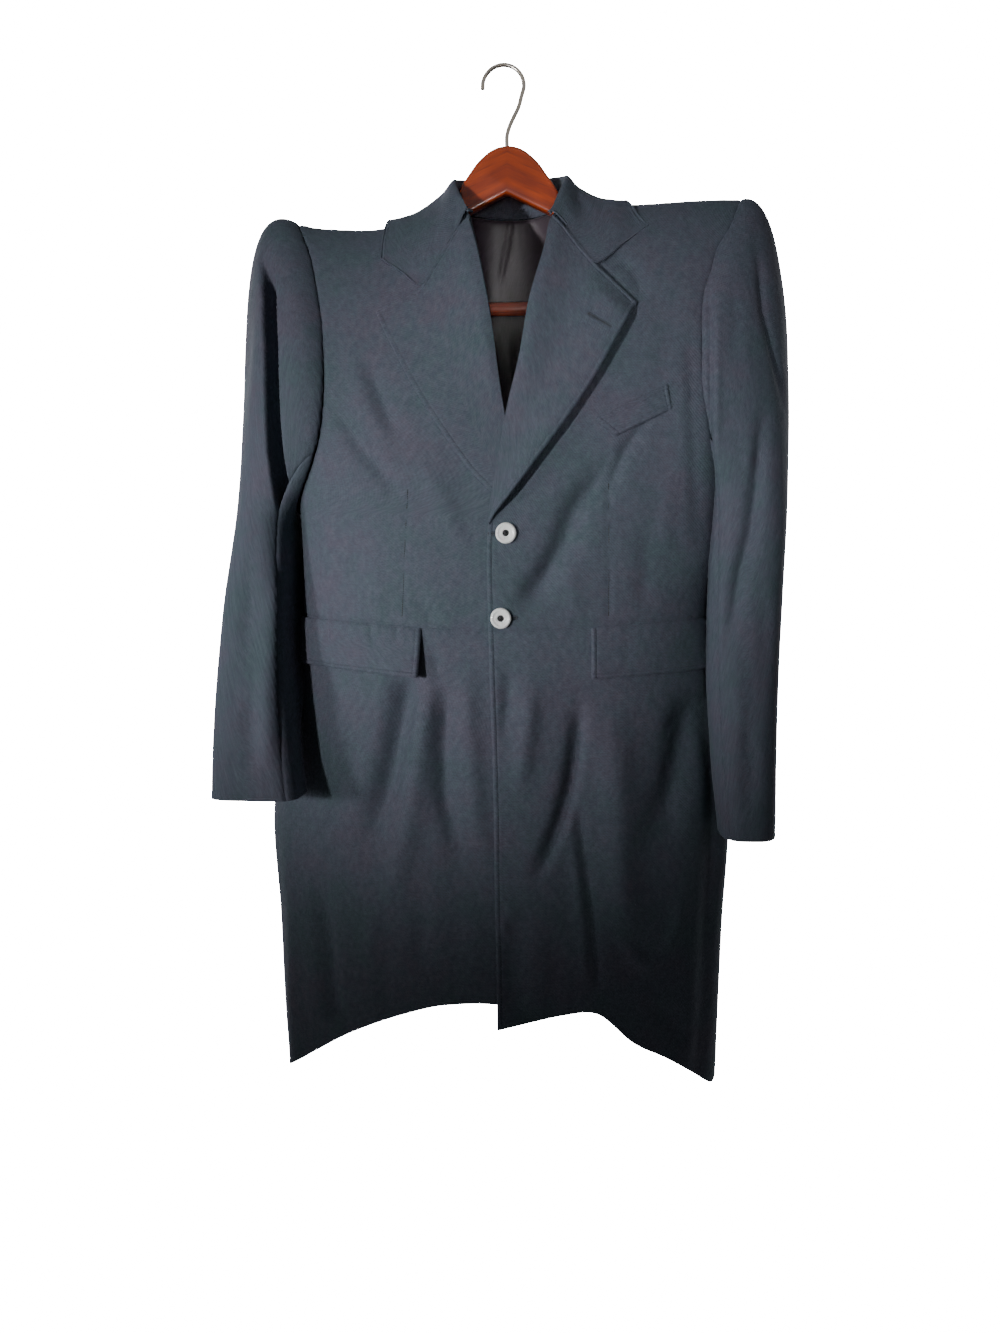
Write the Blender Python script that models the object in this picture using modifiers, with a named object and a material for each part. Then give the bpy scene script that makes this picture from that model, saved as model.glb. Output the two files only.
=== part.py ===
"""A single-breasted frock coat on a wooden hanger, hung from the hanger's wire hook.

Lengths in the tables are millimetres. "drop" is the distance below the inner top of the hook, which is
the origin; +X is the wearer's left, and the front of the coat faces -Y.
"""
import math

import bmesh
import bpy
import numpy as np

MM = 0.001

# Cloth and seams
CLOTH = 1.8            # wall of the outer cloth
LINING = 1.2           # wall of the satin lining
LINING_LIFT = -6.7     # middle of the lining's wall from the middle of the back's
LINING_INSET = 22.0    # turn by which it stops short of the side seam, degrees
LINING_FALL = 30.0     # how far below the shoulder line the lining starts, beside the neck
SEAM = 0.3             # gap between two pieces at a seam
SEAM_TILT = 0.25       # cut off each edge besides, because bent walls meet at an angle
SLEEVE_TILT = 0.4      # the same for the two seams of a sleeve
OVERLAP = 3.0          # how far the left front is lifted, and the right one sunk, where they cross

# Body of the coat: horizontal sections, squareness is the power of the superellipse on each side
SECTIONS = dict(
    drop=(120, 250, 350, 430, 464, 520, 575, 650, 720, 790, 900, 1000, 1080),
    centre=(0, 0, 0, 0, 0, -1, -2, -4, -8, -10, -10, -9, -8),
    half_width=(268, 264, 246, 230, 222.5, 219, 218, 230, 243, 249, 243, 239, 236),
    front=(104, 104, 104, 106, 108, 109, 109, 111, 112, 112, 110, 108, 106),
    back=(80, 80, 80, 77, 74, 66, 62, 70, 78, 82, 84, 84, 84),
    square_right=(2.5, 2.5, 2.5, 2.45, 2.4, 2.3, 2.3, 1.95, 1.85, 1.8, 1.9, 2.1, 2.1),
    square_left=(2.5, 2.5, 2.5, 2.45, 2.4, 2.3, 2.3, 2.15, 2.05, 2.0, 2.1, 2.1, 2.1))

# Top line of the shoulders, and the drop over which the coat fills out to its full depth
RIDGE = dict(
    x=(-262, -222, -205, -185, -123, -95, -66, -45, -28, 0, 28, 45, 66, 95, 136, 200, 262),
    front=(158, 155.5, 159.5, 161.5, 160.5, 151, 138, 122, 104, 90, 104, 122, 137, 143, 143.5, 141, 140.5),
    back=(158, 155.5, 159.5, 161.5, 160.5, 151, 138, 96, 68, 55, 68, 96, 137, 143, 143.5, 141, 140.5))
FILL_FRONT = 260
FILL_BACK = 240
FILL_POWER = 1.7
NECK_WIDTH = 66        # half width of the neck at the shoulder seams
BACK_NECK = dict(x=(-66, -40, 0, 40, 66), drop=(138, 140.5, 142, 140.5, 137))

# Heights of the seams across the body
TOP = 150.0            # mean drop of the shoulder line
UNDERARM = 464.0
WAIST_SIDE = 570.0
WAIST_FRONT = 583.0
SIDE_SEAM = 90.0       # turn from the centre front, degrees
BEND_SHARE = 0.35      # how far the columns gather where a section bends

# Edges of the foreparts, by drop
INNER_LEFT = dict(     # neck, roll line and front edge of the wearer's left forepart
    drop=(137, 150, 165, 192, 256, 316, 359, 420, 475, 500, 569, 600),
    x=(66, 57, 48, 43, 28, 19, 9, -2, -10, -11, -10, -9.5))
INNER_RIGHT = dict(
    drop=(138, 150, 160, 172, 257, 340, 400, 455, 480, 520, 600),
    x=(-66, -48, -37, -33, -12, 1, 11, 18, 22, 24, 24.2))
EDGE_LEFT = dict(drop=(560, 752, 991, 1060), x=(-10, -5, -1, 0))
EDGE_RIGHT = dict(drop=(560, 1060), x=(24, 27))
ARMHOLE_LEFT = dict(
    drop=(140, 172, 199, 218, 235, 303, 350, 401, 430, 450, 464),
    x=(240, 228, 213, 208, 202, 198, 199, 207, 214, 220, 222.6))
ARMHOLE_RIGHT = dict(
    drop=(150, 173, 192, 230, 262, 309, 345, 399, 429, 450, 464),
    x=(223, 212, 203, 192, 185, 181, 181, 189, 202, 214, 222.6))
ARMHOLE_BACK = dict(
    drop=(140, 175, 200, 240, 300, 350, 400, 430, 450, 464),
    x=(240, 229, 216, 205, 200, 200, 206, 213, 219, 222.6))
ARMHOLE_BACK_RIGHT = dict(
    drop=(150, 175, 200, 240, 300, 350, 400, 430, 450, 464),
    x=(223, 218, 210, 202, 199, 200, 206, 213, 219, 222.6))

TORSO_ROWS = (150.003, 151.2, 154, 160, 170, 186, 208, 238, 275, 315, 355, 395, 428, 450, 464, 515, 575)

# Skirts: hem by distance round from the front edge (share of the way to the centre back)
HEM_LEFT = dict(share=(0, 0.06, 0.11, 0.165, 0.23, 0.30, 0.37, 0.44, 0.5, 0.6, 0.8, 1),
                drop=(991, 981, 975, 975, 1008, 1030, 1054, 1074, 1070, 1056, 1032, 1020))
HEM_RIGHT = dict(share=(0, 0.1, 0.14, 0.2, 0.3, 0.38, 0.46, 0.52, 0.62, 0.8, 1),
                 drop=(966, 966, 969, 981, 1009, 1037, 1063, 1074, 1062, 1032, 1020))
SKIRT_ROWS = (0, 0.1, 0.22, 0.36, 0.5, 0.64, 0.78, 0.9, 1)
VENT_LAP = 26.0        # how far the two back skirts cross at the centre vent

# Largest folds of the skirts: share round at the hip, lean (share per metre of drop), width,
# depth (a trough is positive) and the drops between which each one opens
FOLDS_LEFT = (
    dict(share=0.110, lean=0.0, width=0.025, depth=7, opens=640, full=780),
    dict(share=0.160, lean=0.03, width=0.035, depth=-7, opens=650, full=820),
    dict(share=0.215, lean=0.02, width=0.030, depth=6, opens=700, full=850),
    dict(share=0.290, lean=0.05, width=0.040, depth=-7, opens=700, full=900),
    dict(share=0.400, lean=-0.35, width=0.035, depth=9, opens=620, full=720),
    dict(share=0.620, lean=0.05, width=0.045, depth=-9, opens=640, full=880),
    dict(share=0.720, lean=0.05, width=0.035, depth=9, opens=640, full=860),
    dict(share=0.830, lean=0.02, width=0.045, depth=-8, opens=640, full=900),
    dict(share=0.920, lean=0.0, width=0.030, depth=7, opens=660, full=880))
FOLDS_RIGHT = (
    dict(share=0.110, lean=0.0, width=0.028, depth=6, opens=630, full=760),
    dict(share=0.165, lean=0.02, width=0.030, depth=-8, opens=630, full=760),
    dict(share=0.240, lean=0.30, width=0.034, depth=10, opens=620, full=720),
    dict(share=0.330, lean=0.10, width=0.050, depth=-8, opens=620, full=740),
    dict(share=0.440, lean=0.0, width=0.040, depth=7, opens=760, full=900),
    dict(share=0.640, lean=0.05, width=0.045, depth=-9, opens=640, full=880),
    dict(share=0.740, lean=0.05, width=0.035, depth=9, opens=640, full=860),
    dict(share=0.840, lean=0.02, width=0.045, depth=-8, opens=640, full=900),
    dict(share=0.930, lean=0.0, width=0.030, depth=7, opens=660, full=880))

# Lapels: each row runs from the roll line, at roll_drop, to the outer edge; the top row is the gorge
# seam and, past the notch, the free top edge
LAPEL_LEFT = dict(roll_drop=(165, 200, 240, 290, 340, 390, 430, 460, 473),
                  edge_x=(135, 122, 107, 89, 67, 38, 14, -3, -8.5),
                  edge_drop=(257, 281, 309, 341, 374, 414, 447, 467, 477), notch_x=95, notch_drop=219)
LAPEL_RIGHT = dict(roll_drop=(163, 200, 240, 290, 340, 390, 430, 452, 464),
                   edge_x=(-128, -116, -103, -82, -57, -28, -2, 11, 18),
                   edge_drop=(261, 285, 309, 346, 384, 424, 449, 460, 469), notch_x=-80, notch_drop=239)
LAPEL_ACROSS = (0, 0.07, 0.2, 0.38, 0.55, 0.78, 1)
LAPEL_LIFT = (2.7, 4.8, 4.6, 3.8, 3.2, 2.9, 2.8)

# Collar: stations from the front end, at the gorge, round to the centre back. The stand rises from the
# neck seam to the crease; the fall drops from the crease to the outer edge, which lies on the body
COLLAR_LEFT = (
    dict(neck_x=48, neck_drop=163.5, crease=(48.5, -50.5, 161), middle=(95, 218), outer=(146, 176)),
    dict(neck_x=57, neck_drop=150, crease=(55, -35.5, 139), middle=(99, 181), outer=(138, 163)),
    dict(neck_x=66, neck_drop=137.5, crease=(61, -12, 117), middle=(90, 137), outer=(122, 144)),
    dict(neck_x=50, neck_drop=139.5, crease=(55, 14, 109), middle=(76, 128), outer=(98, 158)),
    dict(neck_x=28, neck_drop=141, crease=(33, 38, 104), middle=(44, 126), outer=(55, 166)),
    dict(neck_x=0, neck_drop=142, crease=(0, 47, 103), middle=(0, 126), outer=(0, 166)))
COLLAR_RIGHT = (
    dict(neck_x=-36, neck_drop=160.5, crease=(-36.5, -55.5, 158), middle=(-80, 238), outer=(-125, 208)),
    dict(neck_x=-48, neck_drop=150, crease=(-46, -35, 137), middle=(-86, 190), outer=(-126, 180)),
    dict(neck_x=-66, neck_drop=138.5, crease=(-53, -12, 118), middle=(-86, 146), outer=(-124, 159)),
    dict(neck_x=-50, neck_drop=139.5, crease=(-52, 14, 110), middle=(-76, 132), outer=(-98, 163)),
    dict(neck_x=-28, neck_drop=141, crease=(-33, 38, 104), middle=(-44, 126), outer=(-55, 166)),
    dict(neck_x=0, neck_drop=142, crease=(0, 47, 103), middle=(0, 126), outer=(0, 166)))
COLLAR_COLUMNS = 14    # from one front end to the centre back
COLLAR_LIFT = 4.4

# Sleeves: level rings below the armhole, half_x across and half_y from front to back
SLEEVE_LEFT = dict(drop=(480, 552, 640, 720, 789), centre_x=(250, 248, 246.5, 247.5, 251),
                   centre_y=(-8, -22, -42, -56, -66), half_x=(42, 39.5, 35.5, 31.5, 27),
                   half_y=(58, 53, 49, 49, 50), square=(2.5, 2.6, 2.6, 2.6, 2.6))
SLEEVE_RIGHT = dict(drop=(480, 554, 640, 700, 752), centre_x=(-257, -260, -257.5, -252.5, -246.5),
                    centre_y=(-12, -34, -66, -88, -106), half_x=(31, 34, 37.5, 41, 44.5),
                    half_y=(60, 52, 43, 38, 34), square=(2.5, 2.8, 3.0, 3.2, 3.2))
SLEEVE_GAP = dict(drop=(400, 545, 572, 640, 690, 800), gap=(4.8, 4.8, 8.5, 8.5, 5.5, 5.5))
SLEEVE_SET = 3.4       # the underarm part of a sleeve starts this far outside the body's wall
SLEEVE_ROWS = (0, 0.07, 0.16, 0.28, 0.44, 0.63, 0.84, 1.05, 1.25, 1.5, 1.75, 2)
HEAD_LEFT = dict(fullness=0.6, rise=-0.2)      # how boldly the head leaves the seam, and how far upwards
HEAD_RIGHT = dict(fullness=0.85, rise=-0.1)
FRONT_SEAM = 128.0     # turn round the sleeve from its outer side, degrees
BACK_SEAM = 288.0

# Pocket flaps, breast welt and buttons
FLAP_LEFT = dict(inner_x=92, outer_x=213, depth=52.0)
FLAP_RIGHT = dict(inner_x=-78, outer_x=-222, depth=50.0)
FLAP_LIFT = 3.0
WELT = dict(x=(95, 165, 170, 115), drop=(374, 338, 363, 390))
BUTTON_DIAMETER = 21.0
BUTTON_THICK = 4.2
BUTTONS = dict(button_top=(8, 485), button_bottom=(3, 569))

# Hanger
WOOD_THICK = 15.0
WOOD_TOP = ((0, 81), (14, 84), (28, 94), (46, 117), (53, 128), (61, 141.5), (66, 143.5), (80, 149),
            (95, 155.2), (123, 164.6), (170, 190), (206, 220), (212, 232))
WOOD_BOTTOM = ((212, 250), (206, 256), (195.5, 257), (195.3, 237), (186, 226), (150, 205), (100, 181),
               (46, 152), (0, 129))
BAR_DROP = 247.0
BAR_DIAMETER = 14.0
BAR_HALF = 195.0
WIRE = 4.5
HOOK_CENTRE = (-4.5, 19.5)   # x and drop
HOOK_RADIUS = 21.7

COLOURS = dict(
    wool=((0.062, 0.073, 0.094, 1), 0.88, 0.0), satin=((0.028, 0.022, 0.027, 1), 0.38, 0.0),
    pearl=((0.62, 0.66, 0.65, 1), 0.25, 0.0), cherry=((0.33, 0.05, 0.014, 1), 0.25, 0.0),
    rod=((0.38, 0.1, 0.06, 1), 0.22, 0.0), steel=((0.62, 0.58, 0.5, 1), 0.22, 1.0))


def smooth(knots, values, at):
    """A smooth curve through (knots, values), level beyond both ends."""
    knots = np.asarray(knots, float)
    values = np.asarray(values, float)
    at = np.clip(at, knots[0], knots[-1])
    slopes = np.gradient(values, knots)
    i = np.clip(np.searchsorted(knots, at, side="right") - 1, 0, len(knots) - 2)
    step = knots[i + 1] - knots[i]
    t = (at - knots[i]) / step
    return ((2 * t**3 - 3 * t**2 + 1) * values[i] + (t**3 - 2 * t**2 + t) * slopes[i] * step
            + (3 * t**2 - 2 * t**3) * values[i + 1] + (t**3 - t**2) * slopes[i + 1] * step)


def read(table, column, at, by="drop"):
    return smooth(table[by], table[column], at)


def ease(t):
    """0 before 0, 1 after 1, smooth between."""
    t = np.clip(t, 0, 1)
    return t * t * (3 - 2 * t)


# The body's surface ------------------------------------------------------------------------------

def ridge(x, face="front"):
    return read(RIDGE, face, x, by="x")


def squareness(side, drop):
    return read(SECTIONS, "square_left" if side > 0 else "square_right", drop)


def filled(below, full):
    """Share of the full depth that the coat has at a distance below its shoulder line."""
    left = 1 - np.clip(below, 0, full) / full
    return np.clip(1 - left**FILL_POWER, 0, None) ** (1 / FILL_POWER)


def half_depth(side, face, x, drop):
    """Distance of the body's surface from y = 0."""
    power = squareness(side, drop)
    share = np.clip(np.abs(x - read(SECTIONS, "centre", drop)) / read(SECTIONS, "half_width", drop), 0, 1)
    full = FILL_FRONT if face == "front" else FILL_BACK
    return (read(SECTIONS, face, drop) * filled(drop - ridge(x, face), full)
            * (1 - share**power) ** (1 / power))


def layer(side, face, x, drop):
    """How far one front lies over the other where they cross, outward positive."""
    if face != "front":
        return np.zeros_like(x)
    return OVERLAP * ease((85 - x) / 60) if side > 0 else -OVERLAP * ease((x + 75) / 60)


def body_point(side, face, x, drop, lift=0.0):
    """A point on the front or back of the body, moved out along the surface's normal."""
    sign = -1.0 if face == "front" else 1.0
    x = np.asarray(x, float)
    drop = np.asarray(drop, float) + np.zeros_like(x)
    y = sign * half_depth(side, face, x, drop)
    nudge = 0.5
    across = sign * (half_depth(side, face, x + nudge, drop) - half_depth(side, face, x - nudge, drop))
    down = sign * (half_depth(side, face, x, drop + nudge) - half_depth(side, face, x, drop - nudge))
    normal = np.stack([-across, np.full_like(x, 2 * nudge), down], -1) * sign
    normal /= np.linalg.norm(normal, axis=-1, keepdims=True)
    out = lift + layer(side, face, x, drop)
    return np.stack([x, y, -drop], -1) + normal * np.asarray(out)[..., None]


def turn_of(side, x, drop):
    """Turn round the section, from the centre front or back (0) to the side seam (90 degrees)."""
    share = side * (x - read(SECTIONS, "centre", drop)) / read(SECTIONS, "half_width", drop)
    share = np.clip(share, -1, 1)
    return math.degrees(math.asin(np.sign(share) * abs(share) ** (squareness(side, drop) / 2)))


def section_point(side, turn, drop_of, lift=0.0, fold=None):
    """Points round one side of the coat: turn 0 is the centre front, 90 the side, 180 the back."""
    turn = np.radians(np.asarray(turn, float))
    drop = drop_of(np.zeros_like(turn) + side * 150.0)
    for _ in range(4):
        power = 2 / squareness(side, drop)
        s, c = np.sin(turn), np.cos(turn)
        x = read(SECTIONS, "centre", drop) + side * read(SECTIONS, "half_width", drop) * (
            np.sign(s) * np.abs(s) ** power)
        drop = drop_of(x)
    reach = np.abs(c) ** power
    front = -read(SECTIONS, "front", drop) * filled(drop - ridge(x), FILL_FRONT) * reach
    back = read(SECTIONS, "back", drop) * filled(drop - ridge(x, "back"), FILL_BACK) * reach
    y = np.where(c >= 0, front, back)
    cross = np.where(c >= 0, layer(side, "front", x, drop), 0.0)
    out = lift + cross - (0.0 if fold is None else fold)
    return np.stack([x, y, -drop], -1), np.asarray(out) + np.zeros_like(x)


def moved_out(points, out, side):
    """Rows of points round a section, moved out level along the row's own normal."""
    along = np.gradient(points, axis=-2)
    normal = np.stack([along[..., 1], -along[..., 0], np.zeros_like(along[..., 0])], -1) * side
    normal /= np.linalg.norm(normal, axis=-1, keepdims=True) + 1e-9
    return points + normal * out[..., None]


def even_turns(side, start, end, drop_of, count, full_end=None):
    """Turns that split a section's length, a little closer where it bends round the side.

    With full_end the columns keep to those of the whole section, and draw in towards the last one.
    """
    whole = end if full_end is None else full_end
    fine = np.linspace(start, whole, 361)
    points, _ = section_point(side, fine, drop_of)
    length = np.concatenate([[0], np.cumsum(np.linalg.norm(np.diff(points, axis=0), axis=1))])
    measure = BEND_SHARE * (fine - start) / (whole - start) + (1 - BEND_SHARE) * length / length[-1]
    share = np.linspace(0, 1, count)
    reach = np.interp((end - start) / (whole - start), (fine - start) / (whole - start), measure)
    share = share * (1 - (1 - reach) * share**1.5)
    return np.interp(share, measure, fine)


# Rows of the pieces ------------------------------------------------------------------------------

def waist(x):
    return WAIST_FRONT - (WAIST_FRONT - WAIST_SIDE) * np.clip(np.abs(x) / 218.0, 0, 1)


def torso_drop(face, row):
    """Drop of a torso row at x: it follows the shoulder at the top and the waist seam at the foot."""
    def drop_of(x):
        near = np.maximum(np.abs(x), NECK_WIDTH) * np.where(x < 0, -1, 1)
        top = ridge(near)
        if face == "back":
            top = np.where(np.abs(x) < NECK_WIDTH, read(BACK_NECK, "drop", x, by="x"), top)
        high = (top - TOP) * (1 - ease((row - 190) / 130))
        low = (waist(x) - 575) * ease((row - UNDERARM) / (575 - UNDERARM))
        return row + high + low
    return drop_of


def edge_turn(side, table, drop_of, flip=1):
    """Turn of the section at which a row meets an edge given by drop."""
    x = float(table["x"][0]) * flip
    for _ in range(5):
        drop = float(drop_of(np.array([x]))[0])
        x = float(read(table, "x", drop)) * flip
    return turn_of(side, x, drop)


def forepart(side, columns=13, rows=TORSO_ROWS):
    inner = INNER_LEFT if side > 0 else INNER_RIGHT
    armhole = ARMHOLE_LEFT if side > 0 else ARMHOLE_RIGHT
    grid = []
    for row in rows:
        drop_of = torso_drop("front", row)
        start = edge_turn(side, inner, drop_of)
        end = SIDE_SEAM if row >= UNDERARM else edge_turn(side, armhole, drop_of, side)
        turns = even_turns(side, start, end, drop_of, columns, SIDE_SEAM)
        grid.append(moved_out(*section_point(side, turns, drop_of), side))
    return np.array(grid)


def back(side, columns=9, rows=TORSO_ROWS, lift=0.0, drop_rows=None, inset=0.0):
    """Back panel, or with drop_rows a layer of other rows that stops short of the side seam by inset."""
    armhole = ARMHOLE_BACK if side > 0 else ARMHOLE_BACK_RIGHT
    grid = []
    for row in rows:
        drop_of = torso_drop("back", row) if drop_rows is None else drop_rows(row)
        middle = float(drop_of(np.array([0.0]))[0])
        start = 180 - turn_of(side, 0.0, middle)
        end = SIDE_SEAM
        if float(drop_of(np.array([side * 210.0]))[0]) < UNDERARM:
            end = 180 - edge_turn(side, armhole, drop_of, side)
        whole = SIDE_SEAM if drop_rows is None else None
        turns = even_turns(side, start, end + inset, drop_of, columns, whole)[::-1]
        points, out = section_point(side, turns, drop_of, lift)
        grid.append(moved_out(points, out, side))
    return np.array(grid)


def fold_depth(side, share, drop):
    """Depth of the skirt's folds: a trough is positive."""
    depth = np.zeros_like(share)
    for fold in (FOLDS_LEFT if side > 0 else FOLDS_RIGHT):
        middle = fold["share"] + fold["lean"] * (drop - 700) * MM
        grow = ease((drop - fold["opens"]) / (fold["full"] - fold["opens"]))
        depth += fold["depth"] * grow * np.exp(-((share - middle) / fold["width"]) ** 2)
    return depth


def skirt(side, columns=24, rows=SKIRT_ROWS):
    edge = EDGE_LEFT if side > 0 else EDGE_RIGHT
    hem = HEM_LEFT if side > 0 else HEM_RIGHT
    lap = -VENT_LAP / 2 if side > 0 else -VENT_LAP / 2
    share = np.linspace(0, 1, columns)
    waist_points, _ = section_point(side, np.linspace(0, 180, columns), waist)
    grid = []
    for row in rows:
        hem_drop = read(hem, "drop", share, by="share")
        guess = 575 + row * 455
        start = turn_of(side, float(read(edge, "x", guess)), guess)
        end = 180 - turn_of(side, float(read(SECTIONS, "centre", guess)) + side * lap, guess)
        turns = even_turns(side, start, end, lambda x: np.zeros_like(x) + guess, columns)
        points = None
        drop = waist(waist_points[:, 0])
        for _ in range(3):
            top = waist(points[:, 0]) if points is not None else drop
            drop = top + row * (hem_drop - top)
            points, out = section_point(side, turns, lambda x: drop)
        behind = OVERLAP * (1 if side > 0 else -1) * ease((share - 0.84) / 0.1)
        fold = fold_depth(side, share, drop)
        grid.append(moved_out(points, out + behind - fold, side))
    return np.array(grid)


# Sleeves -----------------------------------------------------------------------------------------

def section_edge(side, turn, drop_of, lift):
    """One point at a turn of a section, moved out by lift."""
    near = np.array([turn - 1.0, turn, turn + 1.0])
    points, out = section_point(side, near, drop_of, lift)
    return moved_out(points, out, side)[1]


def armhole_loop(side, count, lift=0.0):
    """The armhole seam as a closed loop: shoulder, down the front, underarm, up the back."""
    rows = np.concatenate([TOP + np.array([0.003, 0.6, 1.5, 3, 6]), np.linspace(160, UNDERARM, 60)])
    edges = dict(front=ARMHOLE_LEFT, back=ARMHOLE_BACK) if side > 0 else dict(
        front=ARMHOLE_RIGHT, back=ARMHOLE_BACK_RIGHT)
    halves = []
    for face, table in edges.items():
        half = []
        for row in rows:
            drop_of = torso_drop(face, row)
            turn = SIDE_SEAM if row >= UNDERARM else edge_turn(side, table, drop_of, side)
            turn = turn if face == "front" else 180 - turn
            half.append(section_edge(side, turn, drop_of, lift))
        half = np.array(half if face == "front" else half[::-1])
        length = np.concatenate([[0], np.cumsum(np.linalg.norm(np.diff(half, axis=0), axis=1))])
        at = np.linspace(0, length[-1], count // 2 + 1)
        halves.append(np.stack([np.interp(at, length, half[:, k]) for k in range(3)], -1))
    return np.concatenate([halves[0], halves[1][1:]])


def clear_of_body(side, points):
    """Move points out sideways until they clear the coat's body."""
    drop = -points[..., 2]
    gap = np.interp(drop, SLEEVE_GAP["drop"], SLEEVE_GAP["gap"])
    face = np.where(points[..., 1] < 0, read(SECTIONS, "front", drop), read(SECTIONS, "back", drop))
    power = squareness(side, drop)
    part = np.clip(np.abs(points[..., 1]) / (face + gap), 0, 1)
    reach = (read(SECTIONS, "half_width", drop) + gap) * (1 - part**power) ** (1 / power)
    limit = side * read(SECTIONS, "centre", drop) + reach + 0.4
    out = np.maximum(side * points[..., 0], limit)
    return np.stack([side * out, points[..., 1], points[..., 2]], -1)


def sleeve_ring(side, turns, drop):
    table = SLEEVE_LEFT if side > 0 else SLEEVE_RIGHT
    power = 2 / read(table, "square", drop)
    turns = np.radians(turns)
    c, s = np.cos(turns), np.sin(turns)
    x = read(table, "centre_x", drop) + side * read(table, "half_x", drop) * np.sign(c) * np.abs(c)**power
    y = read(table, "centre_y", drop) - read(table, "half_y", drop) * np.sign(s) * np.abs(s)**power
    return np.stack([x, y, np.full_like(x, -drop)], -1)


def sleeve(side, start, end, columns, rows=SLEEVE_ROWS):
    """Part of a sleeve between two turns: from 0 to 1 the rows make the head, from 1 to 2 the arm."""
    table = SLEEVE_LEFT if side > 0 else SLEEVE_RIGHT
    head = HEAD_LEFT if side > 0 else HEAD_RIGHT
    turns = np.linspace(start, end, columns)
    low = ease((115 - np.abs(turns % 360 - 180)) / 40)[:, None]
    seam = np.zeros((columns, 3))
    for lift, weight in ((0.0, 1 - low), (SLEEVE_SET, low)):
        loop = armhole_loop(side, 240, lift)
        at = np.linspace(0, 360, len(loop))
        seam += weight * np.stack([np.interp(turns % 360.0001, at, loop[:, k]) for k in range(3)], -1)
    seam[:, 0] += side * 1.8 * (1 - low[:, 0])
    first, last = table["drop"][0], table["drop"][-1]
    ring = clear_of_body(side, sleeve_ring(side, turns, first))
    fall = (clear_of_body(side, sleeve_ring(side, turns, first + 10)) - ring) / 10
    reach = np.linalg.norm(ring - seam, axis=-1, keepdims=True)
    c, s = np.cos(np.radians(turns)), np.sin(np.radians(turns))
    leave = np.stack([side * (0.66 + 0.14 * c), -0.5 * s, 0.45 * c + head["rise"]], -1)
    leave *= reach * head["fullness"]
    grid = []
    for row in rows:
        if row <= 1:
            t = row
            points = ((2 * t**3 - 3 * t**2 + 1) * seam + (t**3 - 2 * t**2 + t) * leave
                      + (3 * t**2 - 2 * t**3) * ring + (t**3 - t**2) * fall * reach)
        else:
            points = sleeve_ring(side, turns, first + (row - 1) * (last - first))
        pushed = clear_of_body(side, points)
        share = ease((-points[:, 2] - 440) / 20)[:, None] * ease(row / 0.28)
        grid.append(points + (pushed - points) * share)
    return np.array(grid)


# Pieces that lie on the body ----------------------------------------------------------------------

def lapel(side, across=LAPEL_ACROSS, rows=None):
    table = LAPEL_LEFT if side > 0 else LAPEL_RIGHT
    inner = INNER_LEFT if side > 0 else INNER_RIGHT
    rows = np.linspace(0, 1, 14) if rows is None else rows
    at = np.linspace(0, 1, len(table["roll_drop"]))
    notch = 0.55
    grid = []
    for row in rows:
        roll = float(smooth(at, table["roll_drop"], row))
        edge = np.array([float(smooth(at, table["edge_x"], row)), float(smooth(at, table["edge_drop"], row))])
        start = np.array([float(read(inner, "x", roll)), roll + SEAM])
        bend = np.array([table["notch_x"], table["notch_drop"]]) - (
            np.array([read(inner, "x", table["roll_drop"][0]), table["roll_drop"][0]]) * (1 - notch)
            + np.array([table["edge_x"][0], table["edge_drop"][0]]) * notch)
        p = np.asarray(across, float)
        flat = start + (edge - start) * p[:, None]
        flat += bend * (np.interp(p, (0, notch, 1), (0, 1, 0)) * (1 - ease(row / 0.3)))[:, None]
        flat[:, 1] += 0.6 * (1 - ease(row / 0.15))
        lift = smooth(LAPEL_ACROSS, LAPEL_LIFT, p)
        lift = 2.7 + (lift - 2.7) * (1 - ease((flat[:, 1] - 300) / 70))
        grid.append(body_point(side, "front", flat[:, 0], flat[:, 1], lift))
    return np.array(grid)


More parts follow.
